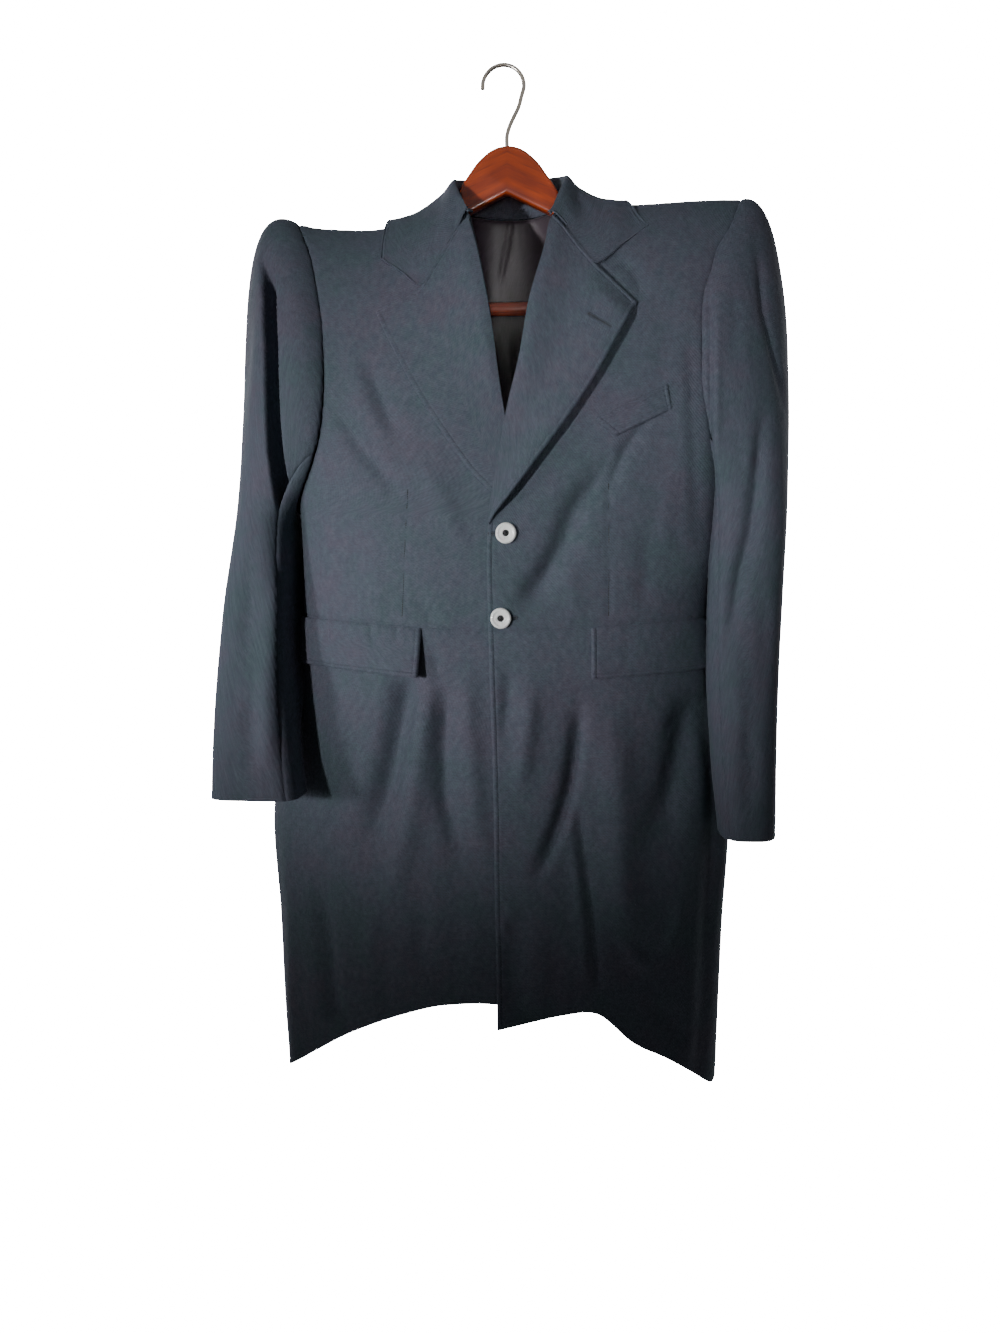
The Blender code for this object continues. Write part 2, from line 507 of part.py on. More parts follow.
def collar_side(side, columns=COLLAR_COLUMNS):
    """Half of the collar, from its front end to the centre back: rows across, columns along."""
    stations = COLLAR_LEFT if side > 0 else COLLAR_RIGHT
    lines = []
    for n, station in enumerate(stations):
        face = "front" if n < 2 else "back"
        neck = body_point(side, face, station["neck_x"], station["neck_drop"], 0.0)
        if n == 2:
            neck = np.array([station["neck_x"], 0.0, -station["neck_drop"]])
        neck = neck + np.array([-side * 2.2 if n < 5 else 0.0, -1.2 if n > 2 else 0.0, 0.6])
        crease = np.array(station["crease"], float) * (1, 1, -1)
        outer_face = "front" if n < 3 else "back"
        outer = body_point(side, outer_face, *station["outer"], COLLAR_LIFT)
        if n == 2:
            outer = np.array([station["outer"][0], -2.0, -station["outer"][1] + COLLAR_LIFT + 1.0])
        middle_x, middle_drop = station["middle"]
        if n == 0:
            middle = body_point(side, "front", middle_x, middle_drop, 3.4)
            fall = [crease + (middle - crease) * t for t in (0.12, 0.4, 0.7, 1.0)] + [
                middle + (outer - middle) * t for t in (0.5, 1.0)]
            for k, point in enumerate(fall):
                on_body = body_point(side, "front", point[0], -point[2], (5.2, 4.8, 4.2, 3.6, 3.6, 3.6)[k])
                fall[k] = on_body
        else:
            mid_y = (crease[1] + outer[1]) / 2 + (-3.0 if n < 3 else 4.0)
            pull = np.array([middle_x, mid_y, -middle_drop]) * 2 - (crease + outer) / 2
            fall = [(1 - t)**2 * crease + 2 * t * (1 - t) * pull + t * t * outer
                    for t in (0.06, 0.25, 0.45, 0.64, 0.82, 1.0)]
            fall[0] = crease + np.array([side * 2.0 if n < 5 else 0.0, -0.5 if n < 3 else 2.0, 0.3])
        stand = [neck, neck * 0.5 + crease * 0.5, crease + np.array([0, 0, -2.5])]
        lines.append(np.array(stand + [crease + np.array([side * 0.6, 0, 0.6])] + fall))
    lines = np.array(lines)
    at = np.linspace(0, 1, columns)
    knots = np.linspace(0, 1, len(stations))
    grid = np.zeros((lines.shape[1], columns, 3))
    for row in range(lines.shape[1]):
        for k in range(3):
            grid[row, :, k] = smooth(knots, lines[:, row, k], at)
    grid[4:] = above_body(side, grid[4:], COLLAR_LIFT)
    return grid


def above_body(side, points, lift):
    """Move points that lie in or close to the front or back out to a distance from its surface."""
    x, y, drop = points[..., 0], points[..., 1], -points[..., 2]
    moved = points.copy()
    for face, sign in (("front", -1), ("back", 1)):
        level = np.maximum(drop, ridge(x, face) + 1.0)
        base = body_point(side, face, x, level)
        steep = sign * (body_point(side, face, x, level, 1.0) - base)[..., 1]
        surface = base[..., 1] + sign * lift / np.maximum(steep, 0.5)
        deeper = (drop > ridge(x, face) - lift) & (sign * y > -2.0) & (sign * y < sign * surface)
        moved[..., 1] = np.where(deeper, surface, moved[..., 1])
    return moved


def collar():
    left = collar_side(1)
    right = collar_side(-1)
    return np.concatenate([left, right[:, ::-1][:, 1:]], axis=1)


def flap(side, columns=9, rows=4):
    table = FLAP_LEFT if side > 0 else FLAP_RIGHT
    grid = []
    for down in np.linspace(0.03, 1, rows):
        def drop_of(x):
            return waist(x) + down * table["depth"]
        start = turn_of(side, table["inner_x"], float(drop_of(table["inner_x"])))
        end = turn_of(side, table["outer_x"], float(drop_of(table["outer_x"])))
        turns = even_turns(side, start, end, drop_of, columns)
        points, out = section_point(side, turns, drop_of, FLAP_LIFT + 1.2 * down)
        grid.append(moved_out(points, out, side))
    return np.array(grid)


def welt(columns=7, rows=3):
    x, drop = WELT["x"], WELT["drop"]
    grid = []
    for down in np.linspace(0, 1, rows):
        start = np.array([x[0] + (x[3] - x[0]) * down, drop[0] + (drop[3] - drop[0]) * down])
        end = np.array([x[1] + (x[2] - x[1]) * down, drop[1] + (drop[2] - drop[1]) * down])
        flat = start + (end - start) * np.linspace(0, 1, columns)[:, None]
        grid.append(body_point(1, "front", flat[:, 0], flat[:, 1], 2.6))
    return np.array(grid)


def lining_drop(row):
    """Drop of a lining row, from 0 at its top edge to 1 at the waist seam."""
    def drop_of(x):
        neck = read(BACK_NECK, "drop", x, by="x") + 1.5
        under = ridge(np.maximum(np.abs(x), NECK_WIDTH) * np.where(x < 0, -1, 1)) + LINING_FALL
        top = neck + (under - neck) * ease((np.abs(x) - 40) / 50)
        return top + row * (waist(x) - 1.0 - top)
    return drop_of


def lining(columns=8, rows=(0, 0.04, 0.1, 0.18, 0.28, 0.42, 0.58, 0.74, 0.87, 1)):
    """Back lining from side to side, a little inside the back panels."""
    left, right = (back(side, columns, rows, LINING_LIFT, lining_drop, LINING_INSET)[:, ::-1] for side in (1, -1))
    return np.concatenate([left[:, ::-1], right[:, 1:]], axis=1)


# Making the objects ------------------------------------------------------------------------------

def material(kind):
    if kind in bpy.data.materials:
        return bpy.data.materials[kind]
    colour, roughness, metallic = COLOURS[kind]
    made = bpy.data.materials.new(kind)
    made.use_nodes = True
    shader = made.node_tree.nodes["Principled BSDF"]
    shader.inputs["Base Color"].default_value = colour
    shader.inputs["Roughness"].default_value = roughness
    shader.inputs["Metallic"].default_value = metallic
    made.diffuse_color = colour
    return made


def add_object(name, mesh, kind, smooth_angle=35.0):
    piece = bpy.data.objects.new(name, mesh)
    bpy.data.collections["frock_coat"].objects.link(piece)
    own = material(kind).copy()
    own.name = name
    mesh.materials.append(own)
    mesh.shade_smooth()
    mesh.set_sharp_from_angle(angle=math.radians(smooth_angle))
    return piece


def cloth(name, grid, kind="wool", wall=CLOTH):
    """A sheet of cloth through a grid of points, given its wall by Solidify."""
    rows, columns = grid.shape[:2]
    corners = [(r * columns + c, (r + 1) * columns + c, (r + 1) * columns + c + 1, r * columns + c + 1)
               for r in range(rows - 1) for c in range(columns - 1)]
    mesh = bpy.data.meshes.new(name)
    mesh.from_pydata([tuple(p) for p in grid.reshape(-1, 3) * MM], [], corners)
    mesh.validate()
    piece = add_object(name, mesh, kind)
    wall_maker = piece.modifiers.new("wall", "SOLIDIFY")
    wall_maker.thickness = wall * MM
    wall_maker.offset = 0
    return piece


def inward(edge, inner):
    """Directions into the sheet from the points of one of its edges, square to the edge."""
    tangent = np.gradient(edge, axis=0)
    tangent /= np.linalg.norm(tangent, axis=-1, keepdims=True) + 1e-9
    step = inner - edge
    step -= (step * tangent).sum(-1, keepdims=True) * tangent
    return step / (np.linalg.norm(step, axis=-1, keepdims=True) + 1e-9)


def trimmed(grid, along=(0, 0), across=(0, 0)):
    """Shorten a grid at its edges by the seam's half gap: first and last row, first and last column."""
    grid = grid.copy()
    for edge, inner, cut in ((0, 1, across[0]), (-1, -2, across[1])):
        grid[edge] += inward(grid[edge], grid[inner]) * cut
    for edge, inner, cut in ((0, 1, along[0]), (-1, -2, along[1])):
        grid[:, edge] += inward(grid[:, edge], grid[:, inner]) * cut
    return grid


def make_coat():
    half = SEAM / 2 + SEAM_TILT
    for side, name in ((1, "left"), (-1, "right")):
        cloth("forepart_" + name, trimmed(forepart(side), (0, half), (half, half)))
        cloth("back_" + name, trimmed(back(side), (half, half), (half, half)))
        cloth("skirt_" + name, trimmed(skirt(side), (0, 0), (half, 0)))
        cloth("lapel_" + name, lapel(side))
        over = sleeve(side, BACK_SEAM - 360, FRONT_SEAM, 15)
        under = sleeve(side, FRONT_SEAM, BACK_SEAM, 11)
        sleeve_cut = SEAM / 2 + SLEEVE_TILT
        cloth("topsleeve_" + name, trimmed(over, (sleeve_cut, sleeve_cut)))
        cloth("undersleeve_" + name, trimmed(under, (sleeve_cut, sleeve_cut)))
        cloth("flap_" + name, flap(side))
    cloth("collar", collar())
    cloth("breast_welt", welt())
    cloth("back_lining", lining(), "satin", LINING)


def turned(name, profile, steps, kind):
    """A solid turned about its own Z axis from (radius, height) points, outer side top to bottom."""
    mesh = bpy.data.meshes.new(name)
    mesh.from_pydata([(r * MM, 0, h * MM) for r, h in profile], [(i, i + 1) for i in range(len(profile) - 1)], [])
    piece = add_object(name, mesh, kind)
    screw = piece.modifiers.new("turn", "SCREW")
    screw.steps = steps
    screw.render_steps = steps
    screw.use_merge_vertices = True
    screw.merge_threshold = 0.00002
    return piece


def make_buttons():
    """Rimmed discs with a sunk eye, standing on the left front."""
    r, h = BUTTON_DIAMETER / 2, BUTTON_THICK
    profile = ((0, h * 0.45), (2.0, h * 0.45), (2.9, h * 0.8), (r - 3.2, h * 0.8), (r - 2.2, h), (r - 0.8, h),
               (r, h * 0.7), (r, h * 0.3), (r - 1.0, 0), (0, 0))
    for name, (x, drop) in BUTTONS.items():
        piece = turned(name, profile, 20, "pearl")
        seat = body_point(1, "front", x, drop, CLOTH / 2 + 0.45)
        piece.rotation_euler = (math.pi / 2, 0, 0)
        piece.location = tuple(seat * MM)


def make_wood():
    """Two arms and the dome that holds the hook, one flat outline with rounded edges."""
    half = list(WOOD_TOP) + list(WOOD_BOTTOM)
    outline = half + [(-x, d) for x, d in half[::-1] if x > 0]
    mesh = bpy.data.meshes.new("hanger_body")
    maker = bmesh.new()
    ring = [maker.verts.new((x * MM, WOOD_THICK / 2 * MM, -d * MM)) for x, d in outline]
    face = maker.faces.new(ring)
    out = bmesh.ops.extrude_face_region(maker, geom=[face])
    moved = [v for v in out["geom"] if isinstance(v, bmesh.types.BMVert)]
    bmesh.ops.translate(maker, vec=(0, -WOOD_THICK * MM, 0), verts=moved)
    bmesh.ops.recalc_face_normals(maker, faces=maker.faces)
    maker.to_mesh(mesh)
    maker.free()
    piece = add_object("hanger_body", mesh, "cherry")
    bevel = piece.modifiers.new("rounded", "BEVEL")
    bevel.width = 3.0 * MM
    bevel.segments = 2
    bevel.angle_limit = math.radians(50)
    bevel.limit_method = "ANGLE"
    bevel.use_clamp_overlap = True


def make_bar():
    bpy.ops.mesh.primitive_cylinder_add(vertices=20, radius=BAR_DIAMETER / 2 * MM,
                                        depth=2 * BAR_HALF * MM, rotation=(0, math.pi / 2, 0))
    made = bpy.context.object
    mesh = made.data
    mesh.transform(made.matrix_world)
    bpy.data.objects.remove(made)
    piece = add_object("hanger_bar", mesh, "rod")
    piece.location = (0, 0, -BAR_DROP * MM)


def make_hook():
    """The wire: out of the dome, swung to one side, then round over the origin to its tip."""
    centre_x, centre_drop = HOOK_CENTRE
    start, end = math.radians(-28), math.radians(187)
    arc = [(centre_x + HOOK_RADIUS * math.cos(a), centre_drop - HOOK_RADIUS * math.sin(a))
           for a in np.linspace(start, end, 15)]
    stem = [(-0.5, WOOD_TOP[0][1] - SEAM), (-0.5, 70), (1.5, 62), (6.5, 51), (11.5, 41)]
    curve = bpy.data.curves.new("hanger_hook", "CURVE")
    curve.dimensions = "3D"
    curve.bevel_depth = WIRE / 2 * MM
    curve.bevel_resolution = 2
    curve.use_fill_caps = True
    line = curve.splines.new("POLY")
    points = stem + arc
    line.points.add(len(points) - 1)
    for point, (x, drop) in zip(line.points, points):
        point.co = (x * MM, 0, -drop * MM, 1)
    piece = bpy.data.objects.new("hanger_hook", curve)
    bpy.data.collections["frock_coat"].objects.link(piece)
    own = material("steel").copy()
    own.name = "hanger_hook"
    curve.materials.append(own)


def main():
    for old in list(bpy.data.objects):
        bpy.data.objects.remove(old)
    coat = bpy.data.collections.new("frock_coat")
    bpy.context.scene.collection.children.link(coat)
    make_coat()
    make_buttons()
    make_wood()
    make_bar()
    make_hook()


main()
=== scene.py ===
import math

import bpy
import numpy as np
from mathutils import Matrix, Vector


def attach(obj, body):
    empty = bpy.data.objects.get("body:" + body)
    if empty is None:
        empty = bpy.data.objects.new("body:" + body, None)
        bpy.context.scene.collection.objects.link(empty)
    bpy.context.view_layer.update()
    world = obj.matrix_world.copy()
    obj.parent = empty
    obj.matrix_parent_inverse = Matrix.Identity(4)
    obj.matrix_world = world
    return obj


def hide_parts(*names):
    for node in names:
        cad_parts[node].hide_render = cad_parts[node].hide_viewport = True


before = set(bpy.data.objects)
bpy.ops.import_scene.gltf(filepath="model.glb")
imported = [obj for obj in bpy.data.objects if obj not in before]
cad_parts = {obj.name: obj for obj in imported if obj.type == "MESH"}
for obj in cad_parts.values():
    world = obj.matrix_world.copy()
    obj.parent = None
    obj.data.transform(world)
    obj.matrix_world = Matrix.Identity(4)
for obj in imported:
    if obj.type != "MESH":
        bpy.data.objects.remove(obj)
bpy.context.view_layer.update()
bpy.ops.object.select_all(action="DESELECT")
print("frame loaded:", len(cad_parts), "nodes")

# Lengths in the tables are millimetres. "drop" is the distance below the inner top of the hook, which is
# the origin; +x is the wearer's left, and the front of the coat faces -y. A side is 1 for the wearer's
# left and -1 for the right.

cloth = dict(
    wall=1.7,            # outer cloth
    liningWall=1.1,
    halfGap=0.1,         # half the gap left at a seam
    turning=2.5,         # what runs on under the sleeve past the armhole seam
    overlap=3.0,         # how far the left front is lifted, and the right one sunk, where they cross
    edgeCell=0.65,       # mesh beside an edge, and how fast it grows inwards
    cellGrowth=0.34,
    edgeWall=0.45,       # share of the wall that is left at a turned edge or a hem
    stitchInset=5.0,     # top stitching from a finished edge
    stitchPitch=3.3,
    stitchSize=(2.3, 0.5, 0.4),
    stitchSink=0.02,     # how far a stitch is pulled into the cloth
    hemDepth=38.0)


# Curves

def smooth(knots, values, at, slopes=None):
    # a smooth curve through the knots, level beyond both ends
    knots = np.asarray(knots, float)
    values = np.asarray(values, float)
    at = np.minimum(np.maximum(at, knots[0]), knots[-1])
    slopes = np.gradient(values, knots) if slopes is None else slopes
    i = np.minimum(np.searchsorted(knots[1:-1], at, side="right"), len(knots) - 2)
    step = knots[i + 1] - knots[i]
    t = (at - knots[i]) / step
    return ((2 * t**3 - 3 * t**2 + 1) * values[i] + (t**3 - 2 * t**2 + t) * slopes[i] * step
            + (3 * t**2 - 2 * t**3) * values[i + 1] + (t**3 - t**2) * slopes[i + 1] * step)


tableCurves = {}


def read(table, column, at, by="drop"):
    key = (id(table), column, by)
    if key not in tableCurves:
        knots, values = np.array(table[by], float), np.array(table[column], float)
        tableCurves[key] = (knots, values, np.gradient(values, knots))
    knots, values, slopes = tableCurves[key]
    return smooth(knots, values, at, slopes)


def ease(t):
    t = np.clip(t, 0, 1)
    return t * t * (3 - 2 * t)


def unit(vectors):
    return vectors / (np.linalg.norm(vectors, axis=-1, keepdims=True) + 1e-9)


def arc(points, axis=0):
    # distance run along a line, or along a grid's rows or columns
    step = np.linalg.norm(np.diff(points, axis=axis), axis=-1)
    start = np.zeros_like(np.take(step, [0], axis=axis))
    return np.concatenate([start, np.cumsum(step, axis=axis)], axis=axis)


def pointsAt(at, run, points):
    # points of a line where its running length is "at"
    return np.stack([np.interp(at, run, points[:, k]) for k in range(3)], -1)


def smoothed(knots, points, at):
    return np.stack([smooth(knots, points[:, k], at) for k in range(points.shape[1])], -1)


# The coat's body: level sections; squareRight and squareLeft are the superellipse's power on each side
body = dict(
    drop=(120, 250, 350, 430, 464, 520, 575, 650, 720, 790, 900, 1000, 1080),
    centre=(0, 0, 0, 0, 0, -1, -2, -4, -8, -10, -10, -9, -8),
    halfWidth=(268, 264, 246, 230, 222.5, 219, 218, 230, 243, 249, 243, 239, 236),
    front=(104, 104, 104, 106, 108, 109, 109, 111, 112, 112, 110, 108, 106),
    back=(80, 80, 80, 77, 74, 66, 62, 70, 78, 82, 84, 84, 84),
    squareRight=(2.5, 2.5, 2.5, 2.45, 2.4, 2.3, 2.3, 1.95, 1.85, 1.8, 1.9, 2.1, 2.1),
    squareLeft=(2.5, 2.5, 2.5, 2.45, 2.4, 2.3, 2.3, 2.15, 2.05, 2.0, 2.1, 2.1, 2.1))
shoulder = dict(
    x=(-262, -222, -205, -185, -123, -95, -66, -45, -28, 0, 28, 45, 66, 95, 136, 200, 262),
    front=(158, 155.5, 159.5, 161.5, 160.5, 151, 138, 122, 104, 90, 104, 122, 137, 143, 143.5, 141, 140.5),
    back=(158, 155.5, 159.5, 161.5, 160.5, 151, 138, 96, 68, 55, 68, 96, 137, 143, 143.5, 141, 140.5))
build = dict(
    fillFront=260, fillBack=240, fillPower=1.7,   # drop over which the coat fills out to its full depth
    neckWidth=66, top=150.0, underarm=464.0, waistSide=570.0, waistFront=583.0, waistRow=575.0,
    sideSeam=90.0, bendShare=0.35)
backNeck = dict(x=(-66, -40, 0, 40, 66), drop=(138, 140.5, 142, 140.5, 137))


def ridge(x, face="front"):
    return read(shoulder, face, x, by="x")


def squareness(side, drop):
    return read(body, "squareLeft" if side > 0 else "squareRight", drop)


def filled(below, full):
    left = 1 - np.clip(below, 0, full) / full
    return np.clip(1 - left**build["fillPower"], 0, None) ** (1 / build["fillPower"])


def halfDepth(side, face, x, drop):
    power = squareness(side, drop)
    share = np.clip(np.abs(x - read(body, "centre", drop)) / read(body, "halfWidth", drop), 0, 1)
    full = build["fillFront"] if face == "front" else build["fillBack"]
    return (read(body, face, drop) * filled(drop - ridge(x, face), full)
            * (1 - share**power) ** (1 / power))


def crossing(side, face, x):
    # the left front lies over the right one
    if face != "front":
        return np.zeros_like(x)
    lift = cloth["overlap"]
    return lift * ease((85 - x) / 60) if side > 0 else -lift * ease((x + 75) / 60)


def bodyPoint(side, face, x, drop, lift=0.0):
    # a point on the front or back, moved out along the normal
    sign = -1.0 if face == "front" else 1.0
    x = np.asarray(x, float)
    drop = np.asarray(drop, float) + np.zeros_like(x)
    y = sign * halfDepth(side, face, x, drop)
    nudge = 0.5
    across = sign * (halfDepth(side, face, x + nudge, drop) - halfDepth(side, face, x - nudge, drop))
    down = sign * (halfDepth(side, face, x, drop + nudge) - halfDepth(side, face, x, drop - nudge))
    normal = unit(np.stack([-across, np.full_like(x, 2 * nudge), down], -1) * sign)
    out = lift + crossing(side, face, x)
    return np.stack([x, y, -drop], -1) + normal * np.asarray(out)[..., None]


def turnOf(side, x, drop):
    # turn round the section, from the centre front or back to the side seam at 90 degrees
    share = side * (x - read(body, "centre", drop)) / read(body, "halfWidth", drop)
    share = np.clip(share, -1, 1)
    return math.degrees(math.asin(np.sign(share) * abs(share) ** (squareness(side, drop) / 2)))


def sectionPoint(side, turn, dropOf, lift=0.0):
    # points round one side: turn 0 is the centre front, 90 the side, 180 the back
    turn = np.radians(np.asarray(turn, float))
    drop = dropOf(np.zeros_like(turn) + side * 150.0)
    for _ in range(4):
        power = 2 / squareness(side, drop)
        s, c = np.sin(turn), np.cos(turn)
        x = read(body, "centre", drop) + side * read(body, "halfWidth", drop) * (
            np.sign(s) * np.abs(s) ** power)
        drop = dropOf(x)
    reach = np.abs(c) ** power
    front = -read(body, "front", drop) * filled(drop - ridge(x), build["fillFront"]) * reach
    rear = read(body, "back", drop) * filled(drop - ridge(x, "back"), build["fillBack"]) * reach
    y = np.where(c >= 0, front, rear)
    cross = np.where(c >= 0, crossing(side, "front", x), 0.0)
    return np.stack([x, y, -drop], -1), lift + cross + np.zeros_like(x)


def movedOut(points, out, side):
    along = np.gradient(points, axis=-2)
    normal = unit(np.stack([along[..., 1], -along[..., 0], np.zeros_like(along[..., 0])], -1) * side)
    return points + normal * out[..., None]


def evenTurns(side, start, end, dropOf, count, fullEnd=None):
    # turns that split a section's length, closer where it bends round the side
    whole = end if fullEnd is None else fullEnd
    fine = np.linspace(start, whole, 361)
    points, _ = sectionPoint(side, fine, dropOf)
    length = arc(points)
    measure = (build["bendShare"] * (fine - start) / (whole - start)
               + (1 - build["bendShare"]) * length / length[-1])
    share = np.linspace(0, 1, count)
    reach = np.interp((end - start) / (whole - start), (fine - start) / (whole - start), measure)
    share = share * (1 - (1 - reach) * share)
    return np.interp(share, measure, fine)


def waist(x):
    rise = build["waistFront"] - build["waistSide"]
    return build["waistFront"] - rise * np.clip(np.abs(x) / 218.0, 0, 1)


def torsoDrop(face, row):
    # a torso row follows the shoulder at the top and the waist seam at the foot
    def dropOf(x):
        near = np.maximum(np.abs(x), build["neckWidth"]) * np.where(x < 0, -1, 1)
        top = ridge(near)
        if face == "back":
            top = np.where(np.abs(x) < build["neckWidth"], read(backNeck, "drop", x, by="x"), top)
        high = (top - build["top"]) * (1 - ease((row - 190) / 130))
        low = (waist(x) - build["waistRow"]) * ease(
            (row - build["underarm"]) / (build["waistRow"] - build["underarm"]))
        return row + high + low
    return dropOf


def edgeTurn(side, table, dropOf, flip=1):
    x = float(table["x"][0]) * flip
    for _ in range(5):
        drop = float(dropOf(np.array([x]))[0])
        x = float(read(table, "x", drop)) * flip
    return turnOf(side, x, drop)


def torsoRows(count=150):
    # rows crowd towards the shoulder, where the cloth turns over
    first = build["top"] + 0.003
    return first + (build["waistRow"] - first) * np.linspace(0, 1, count) ** 2


# Sheets of cloth

def places(length, cell, keep):
    # shares of a length: the mesh is fine at both ends, kept fine over "keep" of them, and grows inwards
    at = np.linspace(0, length, 3000)
    before = np.maximum(at - keep[0], 0) if keep[0] is not None else length
    after = np.maximum(length - at - keep[1], 0) if keep[1] is not None else length
    size = np.clip(cloth["edgeCell"] + cloth["cellGrowth"] * np.minimum(before, after), None, cell)
    count = np.concatenate([[0], np.cumsum(np.diff(at) / ((size[1:] + size[:-1]) / 2))])
    number = int(math.ceil(count[-1]))
    return np.interp(np.linspace(0, count[-1], number + 1), count, at) / length


def respaced(grid, cell, keep, axis):
    run = arc(grid, axis).mean(axis=1 - axis)
    at = places(run[-1], cell, keep) * run[-1]
    lines = np.moveaxis(grid, axis, 0)
    i = np.clip(np.searchsorted(run, at, side="right") - 1, 0, len(run) - 2)
    t = ((at - run[i]) / (run[i + 1] - run[i]))[:, None, None]
    return np.moveaxis(lines[i] * (1 - t) + lines[i + 1] * t, 0, axis)


def outward(edge, inner):
    tangent = unit(np.gradient(edge, axis=0))
    step = edge - inner
    step -= (step * tangent).sum(-1, keepdims=True) * tangent
    return unit(step)


def trimmed(grid, along=(0, 0), across=(0, 0)):
    # shortened by the seam's half gap: first and last row, first and last column
    grid = grid.copy()
    for edge, inner, cut in ((0, 1, across[0]), (-1, -2, across[1])):
        grid[edge] -= outward(grid[edge], grid[inner]) * cut
    for edge, inner, cut in ((0, 1, along[0]), (-1, -2, along[1])):
        grid[:, edge] -= outward(grid[:, edge], grid[:, inner]) * cut
    return grid


def normals(grid):
    return unit(np.cross(np.gradient(grid, axis=0), np.gradient(grid, axis=1)))


def crease(grid, normal, line, depth, width, lip=None, under=0.0, fade=(0.25, 0.25), face=0, floor=0.0):
    # One trough (or ridge, if depth is negative) along a line of (x, drop) points. With a lip it is a fold:
    # it rolls in over its width and ends in a sharp edge that hangs over it by "under". With a floor it is
    # a deep pleat, sunk straight back.
    line = np.array(line, float)
    x, drop = grid[..., 0], -grid[..., 2]
    steps = np.diff(line, axis=0)
    lengths = np.linalg.norm(steps, axis=1)
    before = np.concatenate([[0], np.cumsum(lengths)])
    best = np.full(x.shape, 1e9)
    share = np.zeros(x.shape)
    beside = np.zeros(x.shape)
    for start, step, length, run in zip(line[:-1], steps, lengths, before):
        t = np.clip(((x - start[0]) * step[0] + (drop - start[1]) * step[1]) / length**2, 0, 1)
        dx, dd = x - start[0] - t * step[0], drop - start[1] - t * step[1]
        distance = np.hypot(dx, dd)
        near = distance < best
        best = np.where(near, distance, best)
        share = np.where(near, (run + t * length) / before[-1], share)
        beside = np.where(near, np.sign(dx * step[1] - dd * step[0]), beside)
    signed = best * beside        # positive to the +x side of a line that runs down
    grow = ease(share / max(fade[0], 1e-3)) * ease((1 - share) / max(fade[1], 1e-3))
    if lip is None:
        profile = np.exp(-(signed / width) ** 2)
    else:
        profile = np.where(signed < 0, ease(1 + (signed + floor) / width), 1 - ease(signed / lip))
    if face:
        grow = grow * ease((face * normal[..., 1] + 0.05) / 0.3)
    push = grow * profile
    inwards = -normal if not floor else np.array([0.0, 1.0, 0.0]) * -np.sign(normal[..., 1:2])
    move = inwards * (depth * push)[..., None]
    if under:
        level = np.zeros_like(grid)
        level[..., 0] = 1
        level -= (level * normal).sum(-1, keepdims=True) * normal
        move += unit(level) * (under * push)[..., None]
    return move


def furrow(depth, width, fade, *line, **more):
    # a crease's table: depth, half width, the shares of its length where it comes and goes, and its line
    return dict(line=line, depth=depth, width=width, fade=fade, **more)


def ripples(across, down, seed, amount):
    # hung cloth is never quite even: a few long waves, mostly upright
    maker = np.random.default_rng(seed)
    total = np.zeros_like(across)
    for _ in range(8):
        wave = maker.uniform(60, 190)
        lean = maker.normal(0, 0.3)
        phase, swell = maker.uniform(0, 6.28, 2)
        total += np.sin((across + lean * down) * 6.283 / wave + phase) * (
            wave / 120 * (0.6 + 0.4 * np.sin(down / 85 + swell)))
    return amount * total / 8**0.5


def edgeForm(kind, distance, along, seed):
    # how a sheet lies near one of its edges, outward positive
    maker = np.random.default_rng(seed)
    phase = maker.uniform(0, 6.28)
    if kind == "seam":       # pressed open: it dips into the seam, with small puckers beside it
        pucker = np.sin(along * 6.283 / 17 + phase + 1.8 * np.sin(along / 41))
        return (-1.0 * np.exp(-(distance / 1.7) ** 2) - 0.35 * np.exp(-(distance / 6) ** 2)
                + 0.16 * pucker * np.exp(-(distance / 8) ** 2))
    if kind == "turned":     # folded over and top stitched: a rolled edge, a bead, the stitches' groove
        return (0.45 * np.exp(-((distance - 2.4) / 1.9) ** 2) - 1.3 * np.exp(-(distance / 1.2) ** 2)
                - 0.5 * np.exp(-((distance - cloth["stitchInset"]) / 0.85) ** 2))
    if kind == "hem":        # turned up and felled inside: hardly shows
        return (0.3 * np.exp(-(distance / 3) ** 2)
                - 0.28 * np.exp(-((distance - cloth["hemDepth"]) / 2.2) ** 2)
                + 0.14 * np.sin(along * 6.283 / 46 + phase) * np.exp(-(distance / 30) ** 2))
    return np.zeros_like(distance)


def deselectAll():
    bpy.ops.object.select_all(action="DESELECT")


def applied(piece, *names):
    deselectAll()
    piece.select_set(True)
    bpy.context.view_layer.objects.active = piece
    for name in names:
        bpy.ops.object.modifier_apply(modifier=name)


def rounded(piece, angle):
    deselectAll()
    piece.select_set(True)
    bpy.context.view_layer.objects.active = piece
    bpy.ops.object.shade_smooth_by_angle(angle=math.radians(angle))
    deselectAll()


def bevelled(piece, width, segments, angle=50):
    bevel = piece.modifiers.new("edge", "BEVEL")
    bevel.width = width * 0.001
    bevel.segments = segments
    bevel.limit_method = "ANGLE"
    bevel.angle_limit = math.radians(angle)
    applied(piece, "edge")


def normalsOut(weld=None):
    # every face of the active mesh turned outwards
    bpy.ops.object.mode_set(mode="EDIT")
    bpy.ops.mesh.select_all(action="SELECT")
    if weld:
        bpy.ops.mesh.remove_doubles(threshold=weld)
    bpy.ops.mesh.normals_make_consistent(inside=False)
    bpy.ops.object.mode_set(mode="OBJECT")


